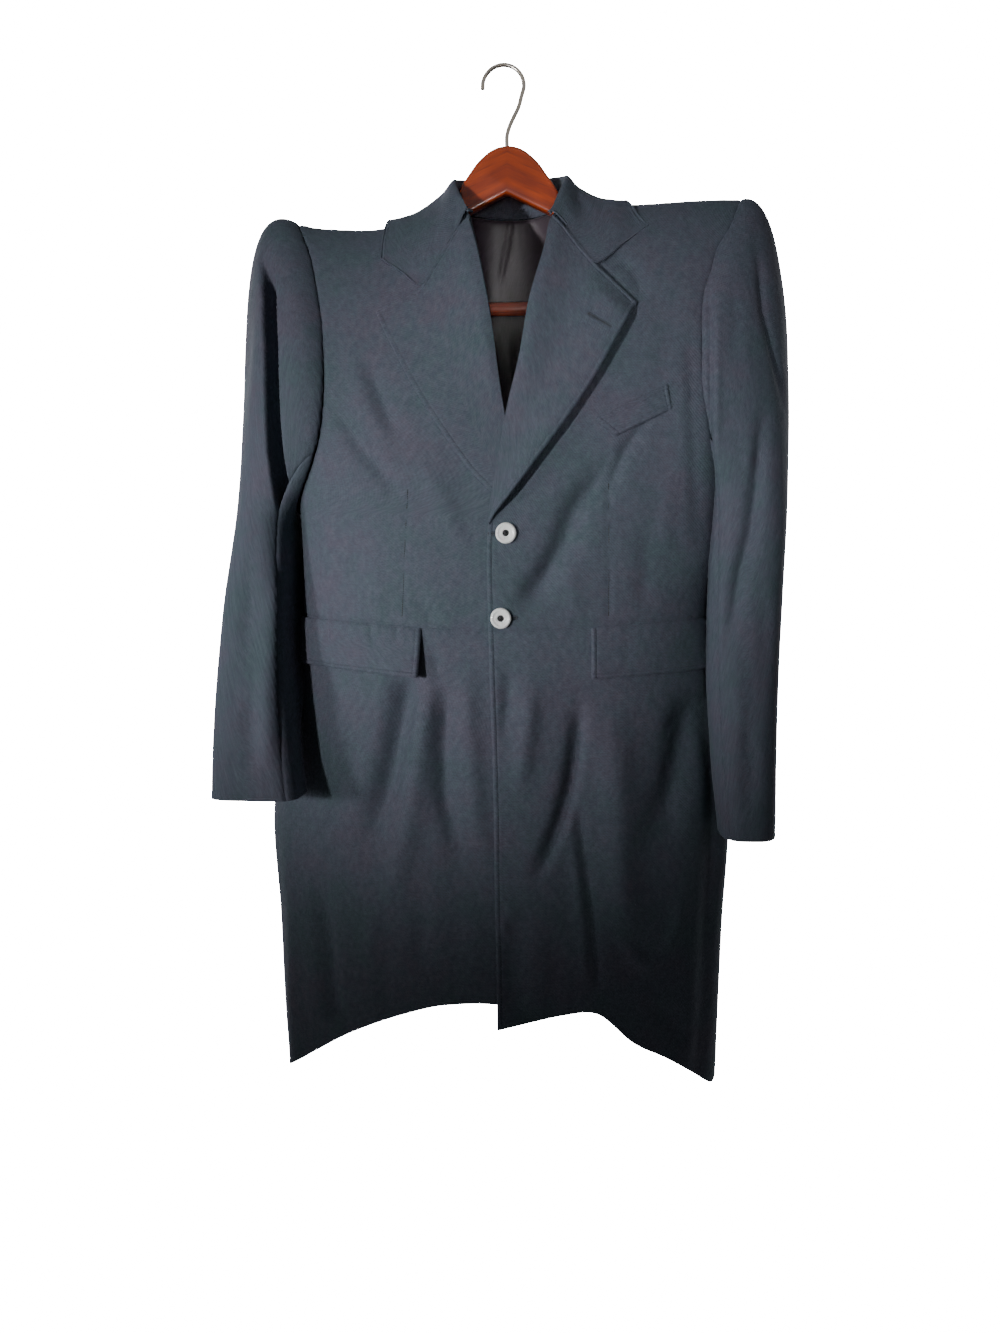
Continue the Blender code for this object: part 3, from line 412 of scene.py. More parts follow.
def shapedGrid(name, grid, uv):
    # a grid primitive laid onto rows and columns of points
    rows, columns = grid.shape[:2]
    bpy.ops.mesh.primitive_grid_add(x_subdivisions=columns - 1, y_subdivisions=rows - 1, size=2)
    piece = bpy.context.object
    piece.name = piece.data.name = name
    mesh = piece.data
    flat = np.zeros(len(mesh.vertices) * 3)
    mesh.vertices.foreach_get("co", flat)
    flat = flat.reshape(-1, 3)
    column = np.rint((flat[:, 0] + 1) / 2 * (columns - 1)).astype(int)
    row = np.rint((1 - flat[:, 1]) / 2 * (rows - 1)).astype(int)
    mesh.vertices.foreach_set("co", (grid[row, column] * 0.001).ravel())
    corner = np.zeros(len(mesh.loops), int)
    mesh.loops.foreach_get("vertex_index", corner)
    mesh.uv_layers.active.data.foreach_set("uv", (uv[row, column][corner] * 0.001).ravel())
    mesh.update()
    return piece, row * columns + column


def sewnSheet(name, form, edges, creases=(), cell=(3.0, 3.0), seed=1, wave=0.5, wall=None,
              outer="slateTwill", inner="plumSatin", extra=None, flip=False, keep=6.5):
    # One piece of cloth. form is rows and columns of points, whose outside is the cross product of the way
    # down and the way across; edges says what each side is: left and right columns, top and bottom rows.
    wall = wall or cloth["wall"]
    if flip:
        form = form[:, ::-1]
        edges = dict(edges, left=edges["right"], right=edges["left"])
    kept = {k: keep if edges[k] == "turned" else 0.5 for k in edges}
    form = respaced(form, cell[0], (kept["left"], kept["right"]), 1)
    form = respaced(form, cell[1], (kept["top"], kept["bottom"]), 0)
    normal = normals(form)
    across, down = arc(form, 1), arc(form, 0)
    ends = dict(left=across, right=across[:, -1:] - across, top=down, bottom=down[-1:] - down)
    offset = ripples(across, down, seed, wave)
    calm = np.ones_like(across)
    weight = np.ones_like(across)
    for end, kind in edges.items():
        distance = ends[end]
        calm = calm * ease(distance / 25 + 0.15)
        if kind in ("turned", "hem"):
            weight = np.minimum(weight, cloth["edgeWall"] + (1 - cloth["edgeWall"]) * ease(distance / 1.3))
    offset = offset * calm
    for n, (end, kind) in enumerate(edges.items()):
        along = down if end in ("left", "right") else across
        offset = offset + edgeForm(kind, ends[end], along, seed * 10 + n)
    if extra is not None:
        offset = offset + extra(form, across, down)
    moved = form + normal * offset[..., None]
    for one in creases:
        moved = moved + crease(form, normal, **one)
    uv = np.stack([across, -down], -1)
    piece, index = shapedGrid(name, moved, uv)
    group = piece.vertex_groups.new(name="wall")
    weight = weight.ravel()[index]
    group.add(range(len(index)), 1.0, "REPLACE")
    for i in np.nonzero(weight < 0.999)[0]:
        group.add([int(i)], float(weight[i]), "REPLACE")
    piece.data.materials.append(bpy.data.materials[outer])
    piece.data.materials.append(bpy.data.materials[inner])
    maker = piece.modifiers.new("wall", "SOLIDIFY")
    maker.thickness = wall * 0.001
    maker.offset = 0
    maker.vertex_group = "wall"
    maker.material_offset = 1
    maker.material_offset_rim = 0
    applied(piece, "wall")
    piece.vertex_groups.clear()
    rounded(piece, 65)
    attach(piece, "root")
    cells = np.cross(np.diff(form, axis=0)[:, :-1], np.diff(form, axis=1)[:-1])
    area = float(np.linalg.norm(cells, axis=-1).sum())
    print(name, form.shape[:2], "faces", len(piece.data.polygons), "area", round(area * 1e-6, 4),
          "mean", round(float(across[:, -1].mean())), "x", round(float(down[-1].mean())))
    return piece, moved, normals(moved)


def insetLine(points, normal, end, inset):
    # the line on a sheet at a distance from one of its edges, with its normals
    if end in ("top", "bottom"):
        points, normal = points.swapaxes(0, 1), normal.swapaxes(0, 1)
    if end in ("right", "bottom"):
        points, normal = points[:, ::-1], normal[:, ::-1]
    run = arc(points, 1)
    line, up = [], []
    for k in range(len(points)):
        line.append([np.interp(inset, run[k], points[k, :, n]) for n in range(3)])
        up.append([np.interp(inset, run[k], normal[k, :, n]) for n in range(3)])
    return np.array(line), unit(np.array(up))


def stitchRow(line, up, pitch, margin=4.0):
    # centres, directions and normals of stitches along a line
    run = arc(line)
    at = np.arange(margin, run[-1] - margin, pitch)
    centre = pointsAt(at, run, line)
    return centre, unit(pointsAt(at + 1, run, line) - centre), unit(pointsAt(at, run, up))


def topRow(points, normal, end):
    return stitchRow(*insetLine(points, normal, end, cloth["stitchInset"]), cloth["stitchPitch"])


def stitches(name, rows, size, lift, finish="thread"):
    # one small bead of thread, copied along every row, all in one mesh
    bpy.ops.mesh.primitive_ico_sphere_add(subdivisions=1, radius=1)
    bead = bpy.context.object
    points = np.array([v.co[:] for v in bead.data.vertices])
    faces = np.array([p.vertices[:] for p in bead.data.polygons])
    bpy.data.objects.remove(bead)
    allPoints, allFaces = [], []
    for centre, along, up in rows:
        side = unit(np.cross(up, along))
        up = unit(np.cross(along, side))
        for c, a, s, u in zip(centre, along, side, up):
            placed = (c + u * lift + points[:, :1] * a * size[0] / 2 + points[:, 1:2] * s * size[1] / 2
                      + points[:, 2:] * u * size[2] / 2)
            allFaces.append(faces + len(allPoints) * len(points))
            allPoints.append(placed)
    mesh = bpy.data.meshes.new(name)
    mesh.from_pydata(np.concatenate(allPoints) * 0.001, [], np.concatenate(allFaces).tolist())
    piece = bpy.data.objects.new(name, mesh)
    bpy.context.scene.collection.objects.link(piece)
    mesh.materials.append(bpy.data.materials[finish])
    mesh.shade_smooth()
    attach(piece, "root")


def topStitches(name, rows):
    stitches(name, rows, cloth["stitchSize"], cloth["wall"] / 2 - cloth["stitchSink"])


# Finishes

def newFinish(name):
    made = bpy.data.materials.new(name)
    made.use_nodes = True
    nodes = made.node_tree.nodes
    return nodes, made.node_tree.links, nodes["Principled BSDF"]


def inputs(node, **values):
    # constants of a node by their labels, with _ for a space
    for label, value in values.items():
        node.inputs[label.replace("_", " ")].default_value = value


def noise(nodes, links, vector, scale, detail=2.0, rough=0.5, stretch=None):
    if stretch is not None:
        mapping = nodes.new("ShaderNodeMapping")
        inputs(mapping, Scale=stretch)
        links.new(vector, mapping.inputs["Vector"])
        vector = mapping.outputs["Vector"]
    made = nodes.new("ShaderNodeTexNoise")
    inputs(made, Scale=scale, Detail=detail, Roughness=rough)
    links.new(vector, made.inputs["Vector"])
    return made.outputs["Fac"]


def ramp(nodes, links, value, stops):
    made = nodes.new("ShaderNodeValToRGB")
    made.color_ramp.elements[0].position = stops[0][0]
    made.color_ramp.elements[0].color = (*stops[0][1], 1)
    made.color_ramp.elements[1].position = stops[-1][0]
    made.color_ramp.elements[1].color = (*stops[-1][1], 1)
    for place, colour in stops[1:-1]:
        added = made.color_ramp.elements.new(place)
        added.color = (*colour, 1)
    links.new(value, made.inputs["Fac"])
    return made.outputs["Color"]


def mixed(nodes, links, factor, first, second, mode="MIX"):
    made = nodes.new("ShaderNodeMix")
    made.data_type = "RGBA"
    made.blend_type = mode
    for socket, value in ((made.inputs[0], factor), (made.inputs[6], first), (made.inputs[7], second)):
        if isinstance(value, (int, float)):
            socket.default_value = value
        elif isinstance(value, tuple):
            socket.default_value = (*value, 1)
        else:
            links.new(value, socket)
    return made.outputs[2]


def maths(nodes, links, operation, first, second):
    made = nodes.new("ShaderNodeMath")
    made.operation = operation
    for socket, value in zip(made.inputs, (first, second)):
        if isinstance(value, (int, float)):
            socket.default_value = value
        else:
            links.new(value, socket)
    return made.outputs[0]


def bump(nodes, links, height, strength, distance, after=None):
    made = nodes.new("ShaderNodeBump")
    inputs(made, Strength=strength, Distance=distance)
    links.new(height, made.inputs["Height"])
    if after is not None:
        links.new(after, made.inputs["Normal"])
    return made.outputs["Normal"]


wool = dict(
    slate=(0.070, 0.083, 0.110), teal=(0.060, 0.084, 0.101), plum=(0.079, 0.079, 0.109),
    ribs=200.0, roughness=0.82, sheen=0.12, sheenTint=(0.55, 0.62, 0.75))


def woolFinish():
    # worsted twill: fine diagonal ribs, heathered yarn, and a slow drift between blue, green and violet
    nodes, links, shader = newFinish("slateTwill")
    uv = nodes.new("ShaderNodeUVMap").outputs["UV"]
    place = nodes.new("ShaderNodeTexCoord").outputs["Object"]
    drift = noise(nodes, links, place, 13.0, 5.0, 0.72)
    colour = ramp(nodes, links, drift, ((0.36, wool["teal"]), (0.5, wool["slate"]), (0.64, wool["plum"])))
    wave = nodes.new("ShaderNodeTexWave")
    wave.wave_type = "BANDS"
    wave.bands_direction = "DIAGONAL"
    inputs(wave, Scale=wool["ribs"], Distortion=1.2, Detail=1.0, Detail_Scale=2.0)
    links.new(uv, wave.inputs["Vector"])
    yarn = noise(nodes, links, uv, 900.0, 2.0, 0.6, (1.0, 0.35, 1.0))
    heather = noise(nodes, links, uv, 150.0, 4.0, 0.75, (1.0, 0.7, 1.0))
    tone = ramp(nodes, links, heather, ((0.36, (0.87, 0.88, 0.90)), (0.64, (1.13, 1.12, 1.10))))
    colour = mixed(nodes, links, 1.0, colour, tone, "MULTIPLY")
    slub = noise(nodes, links, uv, 420.0, 3.0, 0.7, (0.5, 1.6, 1.0))
    fleck = ramp(nodes, links, slub, ((0.36, (0.91, 0.89, 0.885)), (0.64, (1.09, 1.11, 1.115))))
    colour = mixed(nodes, links, 1.0, colour, fleck, "MULTIPLY")
    ribs = ramp(nodes, links, wave.outputs["Fac"], ((0.1, (0.965,) * 3), (0.9, (1.03,) * 3)))
    colour = mixed(nodes, links, 1.0, colour, ribs, "MULTIPLY")
    links.new(colour, shader.inputs["Base Color"])
    inputs(shader, Roughness=wool["roughness"], Specular_IOR_Level=0.25, Sheen_Weight=wool["sheen"],
           Sheen_Roughness=0.5, Sheen_Tint=(*wool["sheenTint"], 1))
    weave = bump(nodes, links, wave.outputs["Fac"], 0.35, 0.00025)
    weave = bump(nodes, links, yarn, 0.4, 0.0003, weave)
    crumple = noise(nodes, links, place, 30.0, 4.0, 0.6)
    links.new(bump(nodes, links, crumple, 0.35, 0.007, weave), shader.inputs["Normal"])


satin = dict(plum=(0.066, 0.049, 0.065), brown=(0.058, 0.048, 0.052), roughness=0.42)


def satinFinish():
    nodes, links, shader = newFinish("plumSatin")
    uv = nodes.new("ShaderNodeUVMap").outputs["UV"]
    place = nodes.new("ShaderNodeTexCoord").outputs["Object"]
    drift = noise(nodes, links, place, 12.0, 2.0, 0.5)
    threads = noise(nodes, links, uv, 1400.0, 1.0, 0.5, (1.0, 0.06, 1.0))
    colour = ramp(nodes, links, drift, ((0.35, satin["brown"]), (0.65, satin["plum"])))
    streak = ramp(nodes, links, threads, ((0.3, (0.85,) * 3), (0.7, (1.12,) * 3)))
    links.new(mixed(nodes, links, 1.0, colour, streak, "MULTIPLY"), shader.inputs["Base Color"])
    inputs(shader, Roughness=satin["roughness"], Specular_IOR_Level=0.45, Anisotropic=0.35,
           Sheen_Weight=0.1)
    soft = noise(nodes, links, place, 38.0, 2.0, 0.5, (1.0, 1.0, 0.25))
    grain = bump(nodes, links, threads, 0.2, 0.0001)
    links.new(bump(nodes, links, soft, 0.35, 0.004, grain), shader.inputs["Normal"])


def threadFinish(name, colour, roughness):
    nodes, links, shader = newFinish(name)
    place = nodes.new("ShaderNodeTexCoord").outputs["Object"]
    twist = noise(nodes, links, place, 2600.0, 1.0, 0.5)
    low = tuple(0.75 * c for c in colour)
    links.new(ramp(nodes, links, twist, ((0.3, low), (0.7, colour))), shader.inputs["Base Color"])
    inputs(shader, Roughness=roughness)
    links.new(bump(nodes, links, twist, 0.4, 0.0001), shader.inputs["Normal"])


pearl = dict(white=(0.90, 0.92, 0.91), grey=(0.55, 0.58, 0.57), rose=(0.88, 0.85, 0.85), roughness=0.24)


def pearlFinish():
    nodes, links, shader = newFinish("pearl")
    place = nodes.new("ShaderNodeTexCoord").outputs["Object"]
    cloud = noise(nodes, links, place, 170.0, 3.0, 0.6)
    vein = noise(nodes, links, place, 520.0, 4.0, 0.65, (1.0, 1.0, 0.4))
    white = pearl["white"]
    colour = ramp(nodes, links, cloud, ((0.38, pearl["rose"]), (0.55, white), (0.7, white)))
    dark = ramp(nodes, links, vein, ((0.56, (0.0,) * 3), (0.72, (1.0,) * 3)))
    links.new(mixed(nodes, links, dark, colour, pearl["grey"]), shader.inputs["Base Color"])
    inputs(shader, Roughness=pearl["roughness"], Coat_Weight=0.5, Coat_Roughness=0.12,
           Subsurface_Weight=0.08, Subsurface_Radius=(0.002, 0.002, 0.002))
    links.new(bump(nodes, links, vein, 0.15, 0.0003), shader.inputs["Normal"])


# stained hardwood under gloss; with a lean, the grain follows each of the hanger's arms
lacquers = dict(
    cherryLacquer=dict(light=(0.47, 0.070, 0.012), dark=(0.22, 0.026, 0.007), pore=(0.12, 0.014, 0.005),
                       lean=0.42),
    rodLacquer=dict(light=(0.50, 0.12, 0.07), dark=(0.30, 0.045, 0.025), pore=(0.16, 0.02, 0.012), lean=0))


def lacquerFinish(name):
    own = lacquers[name]
    nodes, links, shader = newFinish(name)
    place = nodes.new("ShaderNodeTexCoord").outputs["Object"]
    vector = place
    if own["lean"]:
        parts = nodes.new("ShaderNodeSeparateXYZ")
        links.new(place, parts.inputs["Vector"])
        flank = maths(nodes, links, "ABSOLUTE", parts.outputs["X"], 0.0)
        joined = nodes.new("ShaderNodeCombineXYZ")
        links.new(flank, joined.inputs["X"])
        links.new(parts.outputs["Y"], joined.inputs["Y"])
        links.new(parts.outputs["Z"], joined.inputs["Z"])
        turned = nodes.new("ShaderNodeMapping")
        turned.inputs["Rotation"].default_value = (0, -own["lean"], 0)
        links.new(joined.outputs["Vector"], turned.inputs["Vector"])
        vector = turned.outputs["Vector"]
    grain = noise(nodes, links, vector, 34.0, 4.0, 0.6, (0.22, 2.0, 2.4))
    pores = noise(nodes, links, vector, 420.0, 2.0, 0.6, (0.05, 1.0, 1.0))
    patch = noise(nodes, links, place, 22.0, 1.0, 0.5)
    colour = ramp(nodes, links, grain, ((0.3, own["dark"]), (0.62, own["light"])))
    shade = ramp(nodes, links, patch, ((0.35, (0.72, 0.66, 0.66)), (0.65, (1.12, 1.1, 1.05))))
    colour = mixed(nodes, links, 0.8, colour, shade, "MULTIPLY")
    fleck = ramp(nodes, links, pores, ((0.58, (0.0,) * 3), (0.7, (1.0,) * 3)))
    part = maths(nodes, links, "MULTIPLY", fleck, 0.55)
    links.new(mixed(nodes, links, part, colour, own["pore"]), shader.inputs["Base Color"])
    inputs(shader, Roughness=0.3, Coat_Weight=0.5, Coat_Roughness=0.09)
    links.new(bump(nodes, links, grain, 0.12, 0.0004), shader.inputs["Normal"])


def steelFinish():
    # plated wire, a little brassy, with faint drawing lines and dull spots
    nodes, links, shader = newFinish("platedWire")
    place = nodes.new("ShaderNodeTexCoord").outputs["Object"]
    dull = noise(nodes, links, place, 160.0, 3.0, 0.6)
    drawn = noise(nodes, links, place, 900.0, 2.0, 0.5, (1.0, 1.0, 0.1))
    colour = ramp(nodes, links, dull, ((0.4, (0.78, 0.70, 0.60)), (0.62, (0.66, 0.62, 0.57))))
    links.new(colour, shader.inputs["Base Color"])
    inputs(shader, Metallic=1.0)
    rough = ramp(nodes, links, dull, ((0.35, (0.14,) * 3), (0.7, (0.3,) * 3)))
    links.new(rough, shader.inputs["Roughness"])
    links.new(bump(nodes, links, drawn, 0.08, 0.0001), shader.inputs["Normal"])


woolFinish()
satinFinish()
threadFinish("thread", (0.05, 0.06, 0.08), 0.6)
# near-black thread for the buttons' real eye threads; the same finish paints shade on the dart lines, the
# buttonhole slits and the buttons' sunk eyes
threadFinish("blackThread", (0.012, 0.013, 0.014), 0.5)
pearlFinish()
lacquerFinish("cherryLacquer")
lacquerFinish("rodLacquer")
steelFinish()
print("finishes made")

# Foreparts

armholeFront = {
    1: dict(drop=(140, 172, 199, 218, 235, 303, 350, 401, 430, 450, 464),
            x=(240, 228, 213, 208, 202, 198, 199, 207, 214, 220, 222.6)),
    -1: dict(drop=(150, 173, 192, 230, 262, 309, 345, 399, 429, 450, 464),
             x=(223, 212, 203, 192, 185, 181, 181, 189, 202, 214, 222.6))}
armholeBack = {
    1: dict(drop=(140, 175, 200, 240, 300, 350, 400, 430, 450, 464),
            x=(240, 229, 216, 205, 200, 200, 206, 213, 219, 222.6)),
    -1: dict(drop=(150, 175, 200, 240, 300, 350, 400, 430, 450, 464),
             x=(223, 218, 210, 202, 199, 200, 206, 213, 219, 222.6))}
innerEdge = {            # neck, roll line and front edge
    1: dict(drop=(137, 150, 165, 192, 256, 316, 359, 420, 475, 500, 569, 600),
            x=(66, 57, 48, 43, 28, 19, 9, -2, -10, -11, -10, -9.5)),
    -1: dict(drop=(138, 150, 160, 172, 257, 340, 400, 455, 480, 520, 600),
             x=(-66, -48, -37, -33, -12, 1, 11, 18, 22, 24, 24.2))}
frontEdge = {
    1: dict(drop=(560, 752, 991, 1060), x=(-10, -5, -1, 0)),
    -1: dict(drop=(560, 1060), x=(24, 27))}

# the dark line down each dart is painted shade: near-black beads laid close along it stand in for the
# groove's shadow
paintedDartShade = dict(pitch=2.2, size=(2.6, 1.0, 0.4), sink=0.05)
# the first crease of each forepart is its dart; its edge comes out from under the lapel at stitchFrom
foreparts = {
    1: dict(node="forepart_left", flat=(0.252, 0.462), area=0.0995, seed=11, stitchFrom=479, creases=(
        furrow(1.2, 1.3, (0.05, 0.02), (108, 433), (109, 500), (109, 571)),
        furrow(4.2, 5.5, (0.3, 0.4), (153, 372), (138, 385), (124, 404), (113, 434), (106, 468)),
        furrow(11.5, 12, (0.35, 0.2), (118, 398), (97, 434), (79, 458), (62, 500), (44, 533), (27, 550),
               (10, 560)),
        furrow(-2.4, 10, (0.4, 0.5), (94, 428), (74, 476), (50, 520)),
        furrow(2.6, 7, (0.35, 0.35), (108, 200), (118, 214), (135, 226), (139, 247), (121, 262)),
        furrow(1.6, 13, (0.4, 0.4), (160, 235), (166, 300), (158, 345)),
        furrow(-6.5, 25, (0.3, 0.25), (192, 290), (198, 400), (202, 480), (200, 565)),
        furrow(2.6, 7, (0.35, 0.3), (187, 262), (189, 363), (196, 524)),
        furrow(1.6, 9, (0.4, 0.3), (150, 455), (146, 510), (142, 570)),
        furrow(-1.3, 8, (0.4, 0.4), (172, 420), (164, 470), (166, 520)),
        furrow(-1.4, 9, (0.4, 0.3), (60, 500), (74, 540), (78, 578)))),
    -1: dict(node="forepart_right", flat=(0.252, 0.462), area=0.0987, seed=12, stitchFrom=470, creases=(
        furrow(1.2, 1.3, (0.05, 0.02), (-91, 438), (-95, 505), (-98, 572)),
        furrow(5.0, 8.5, (0.35, 0.35), (-176, 335), (-162, 366), (-144, 394), (-111, 433),
               (-94, 466)),
        furrow(3.6, 8, (0.4, 0.4), (-139, 295), (-126, 332), (-115, 363), (-89, 412)),
        furrow(-2.6, 9, (0.4, 0.4), (-158, 285), (-139, 350), (-106, 405)),
        furrow(-2.4, 12, (0.4, 0.4), (-84, 395), (-62, 440), (-42, 488), (-25, 523)),
        furrow(2.2, 8, (0.4, 0.1), (-84, 535), (-74, 560), (-66, 580)),
        furrow(1.6, 11, (0.4, 0.4), (-170, 230), (-168, 280), (-173, 330)),
        furrow(1.5, 10, (0.4, 0.3), (-140, 470), (-148, 520), (-150, 570)),
        furrow(-1.2, 6, (0.4, 0.2), (-128, 505), (-122, 545), (-124, 578)),
        furrow(-1.6, 10, (0.4, 0.3), (-182, 400), (-176, 470), (-180, 550))))}


def forepartForm(side, columns=90):
    grid = []
    for row in torsoRows():
        dropOf = torsoDrop("front", row)
        start = edgeTurn(side, innerEdge[side], dropOf)
        end = build["sideSeam"]
        if row < build["underarm"]:
            end = edgeTurn(side, armholeFront[side], dropOf, side)
        turns = evenTurns(side, start, end, dropOf, columns, build["sideSeam"])
        grid.append(movedOut(*sectionPoint(side, turns, dropOf), side))
    return np.array(grid)


def armholeCut(rows):
    # rows that end at the armhole run on past it, the others stop short of the side seam
    below = ease((rows - build["underarm"] + 14) / 14)[:, None]
    return below * cloth["halfGap"] - (1 - below) * cloth["turning"]


def carried(points, normal, flat, reach):
    # (x, drop) points carried onto a finished sheet, with its normals; the depth is evened over the reach
    found, up = [], []
    for x, drop in flat:
        near = np.argmin((points[..., 0] - x) ** 2 + (points[..., 2] + drop) ** 2)
        at = np.unravel_index(near, points.shape[:2])
        found.append([x, points[at][1], -drop])
        up.append(normal[at])
    found = np.array(found)
    width = 2 * reach + 1
    found[:, 1] = np.convolve(np.pad(found[:, 1], reach, "edge"), np.ones(width) / width, "valid")
    return found, np.array(up)


def seamLine(points, normal, line, step=1.0):
    line = np.array(line, float)
    run = np.concatenate([[0], np.cumsum(np.hypot(*np.diff(line, axis=0).T))])
    at = np.arange(0, run[-1], step)
    flat = np.stack([np.interp(at, run, line[:, 0]), np.interp(at, run, line[:, 1])], -1)
    found, up = carried(points, normal, flat, 6)
    return found, unit(up)


def makeForepart(side):
    own = foreparts[side]
    half = cloth["halfGap"]
    form = trimmed(forepartForm(side), (0, armholeCut(torsoRows())), (half, half))
    piece, points, normal = sewnSheet(
        own["node"] + "_cloth", form, dict(left="turned", right="seam", top="seam", bottom="seam"),
        own["creases"], cell=(2.6, 2.8), seed=own["seed"], wave=0.55, flip=side < 0)
    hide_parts(own["node"])
    end = "left" if side > 0 else "right"
    line, up = insetLine(points, normal, end, cloth["stitchInset"])
    below = -line[:, 2] > own["stitchFrom"]
    # painted shade: a row of near-black beads along the dart's line
    dart = stitchRow(*seamLine(points, normal, own["creases"][0]["line"]), paintedDartShade["pitch"])
    stitches(own["node"] + "_dart_painted_shade", [dart], paintedDartShade["size"], cloth["wall"] / 2 - paintedDartShade["sink"],
             "blackThread")
    return stitchRow(line[below], up[below], cloth["stitchPitch"])


frontStitches = [makeForepart(side) for side in (1, -1)]
print("foreparts made")

# Back panels

backs = {
    1: dict(node="back_left", flat=(0.248, 0.455), area=0.1012, seed=21, creases=(
        furrow(1.1, 1.4, (0.04, 0.04), (199, 318), (158, 372), (118, 440), (84, 520), (70, 572)),
        furrow(2.6, 12, (0.4, 0.4), (190, 170), (150, 215), (120, 265)),
        furrow(-2.4, 14, (0.4, 0.3), (150, 400), (140, 470), (146, 540)),
        furrow(2.2, 15, (0.4, 0.4), (70, 200), (56, 300), (48, 400)),
        furrow(2.2, 10, (0.4, 0.3), (36, 440), (44, 505), (60, 560)))),
    -1: dict(node="back_right", flat=(0.248, 0.455), area=0.0980, seed=22, creases=(
        furrow(1.1, 1.4, (0.04, 0.04), (-198, 322), (-158, 374), (-118, 440), (-84, 520), (-70, 572)),
        furrow(2.4, 13, (0.4, 0.4), (-184, 180), (-142, 228), (-108, 290)),
        furrow(-2.0, 13, (0.4, 0.3), (-160, 410), (-148, 480), (-140, 550)),
        furrow(2.0, 14, (0.4, 0.4), (-58, 215), (-52, 290), (-60, 380)),
        furrow(2.4, 9, (0.4, 0.3), (-40, 455), (-52, 520), (-66, 566))))}


def backForm(side, rows, columns=80, lift=0.0, dropRows=None, inset=0.0):
    grid = []
    for row in rows:
        dropOf = torsoDrop("back", row) if dropRows is None else dropRows(row)
        middle = float(dropOf(np.array([0.0]))[0])
        start = 180 - turnOf(side, 0.0, middle)
        end = build["sideSeam"]
        if float(dropOf(np.array([side * 210.0]))[0]) < build["underarm"]:
            end = 180 - edgeTurn(side, armholeBack[side], dropOf, side)
        whole = build["sideSeam"] if dropRows is None else None
        turns = evenTurns(side, start, end + inset, dropOf, columns, whole)[::-1]
        points, out = sectionPoint(side, turns, dropOf, lift)
        grid.append(movedOut(points, out, side))
    return np.array(grid)


def makeBack(side):
    own = backs[side]
    half = cloth["halfGap"]
    form = trimmed(backForm(side, torsoRows()), (armholeCut(torsoRows()), half), (half, half))
    piece = sewnSheet(
        own["node"] + "_cloth", form, dict(left="seam", right="seam", top="seam", bottom="seam"),
        own["creases"], cell=(3.6, 3.8), seed=own["seed"], wave=0.7, flip=side < 0)[0]
    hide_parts(own["node"])


for side in (1, -1):
    makeBack(side)
print("backs made")

# Skirts

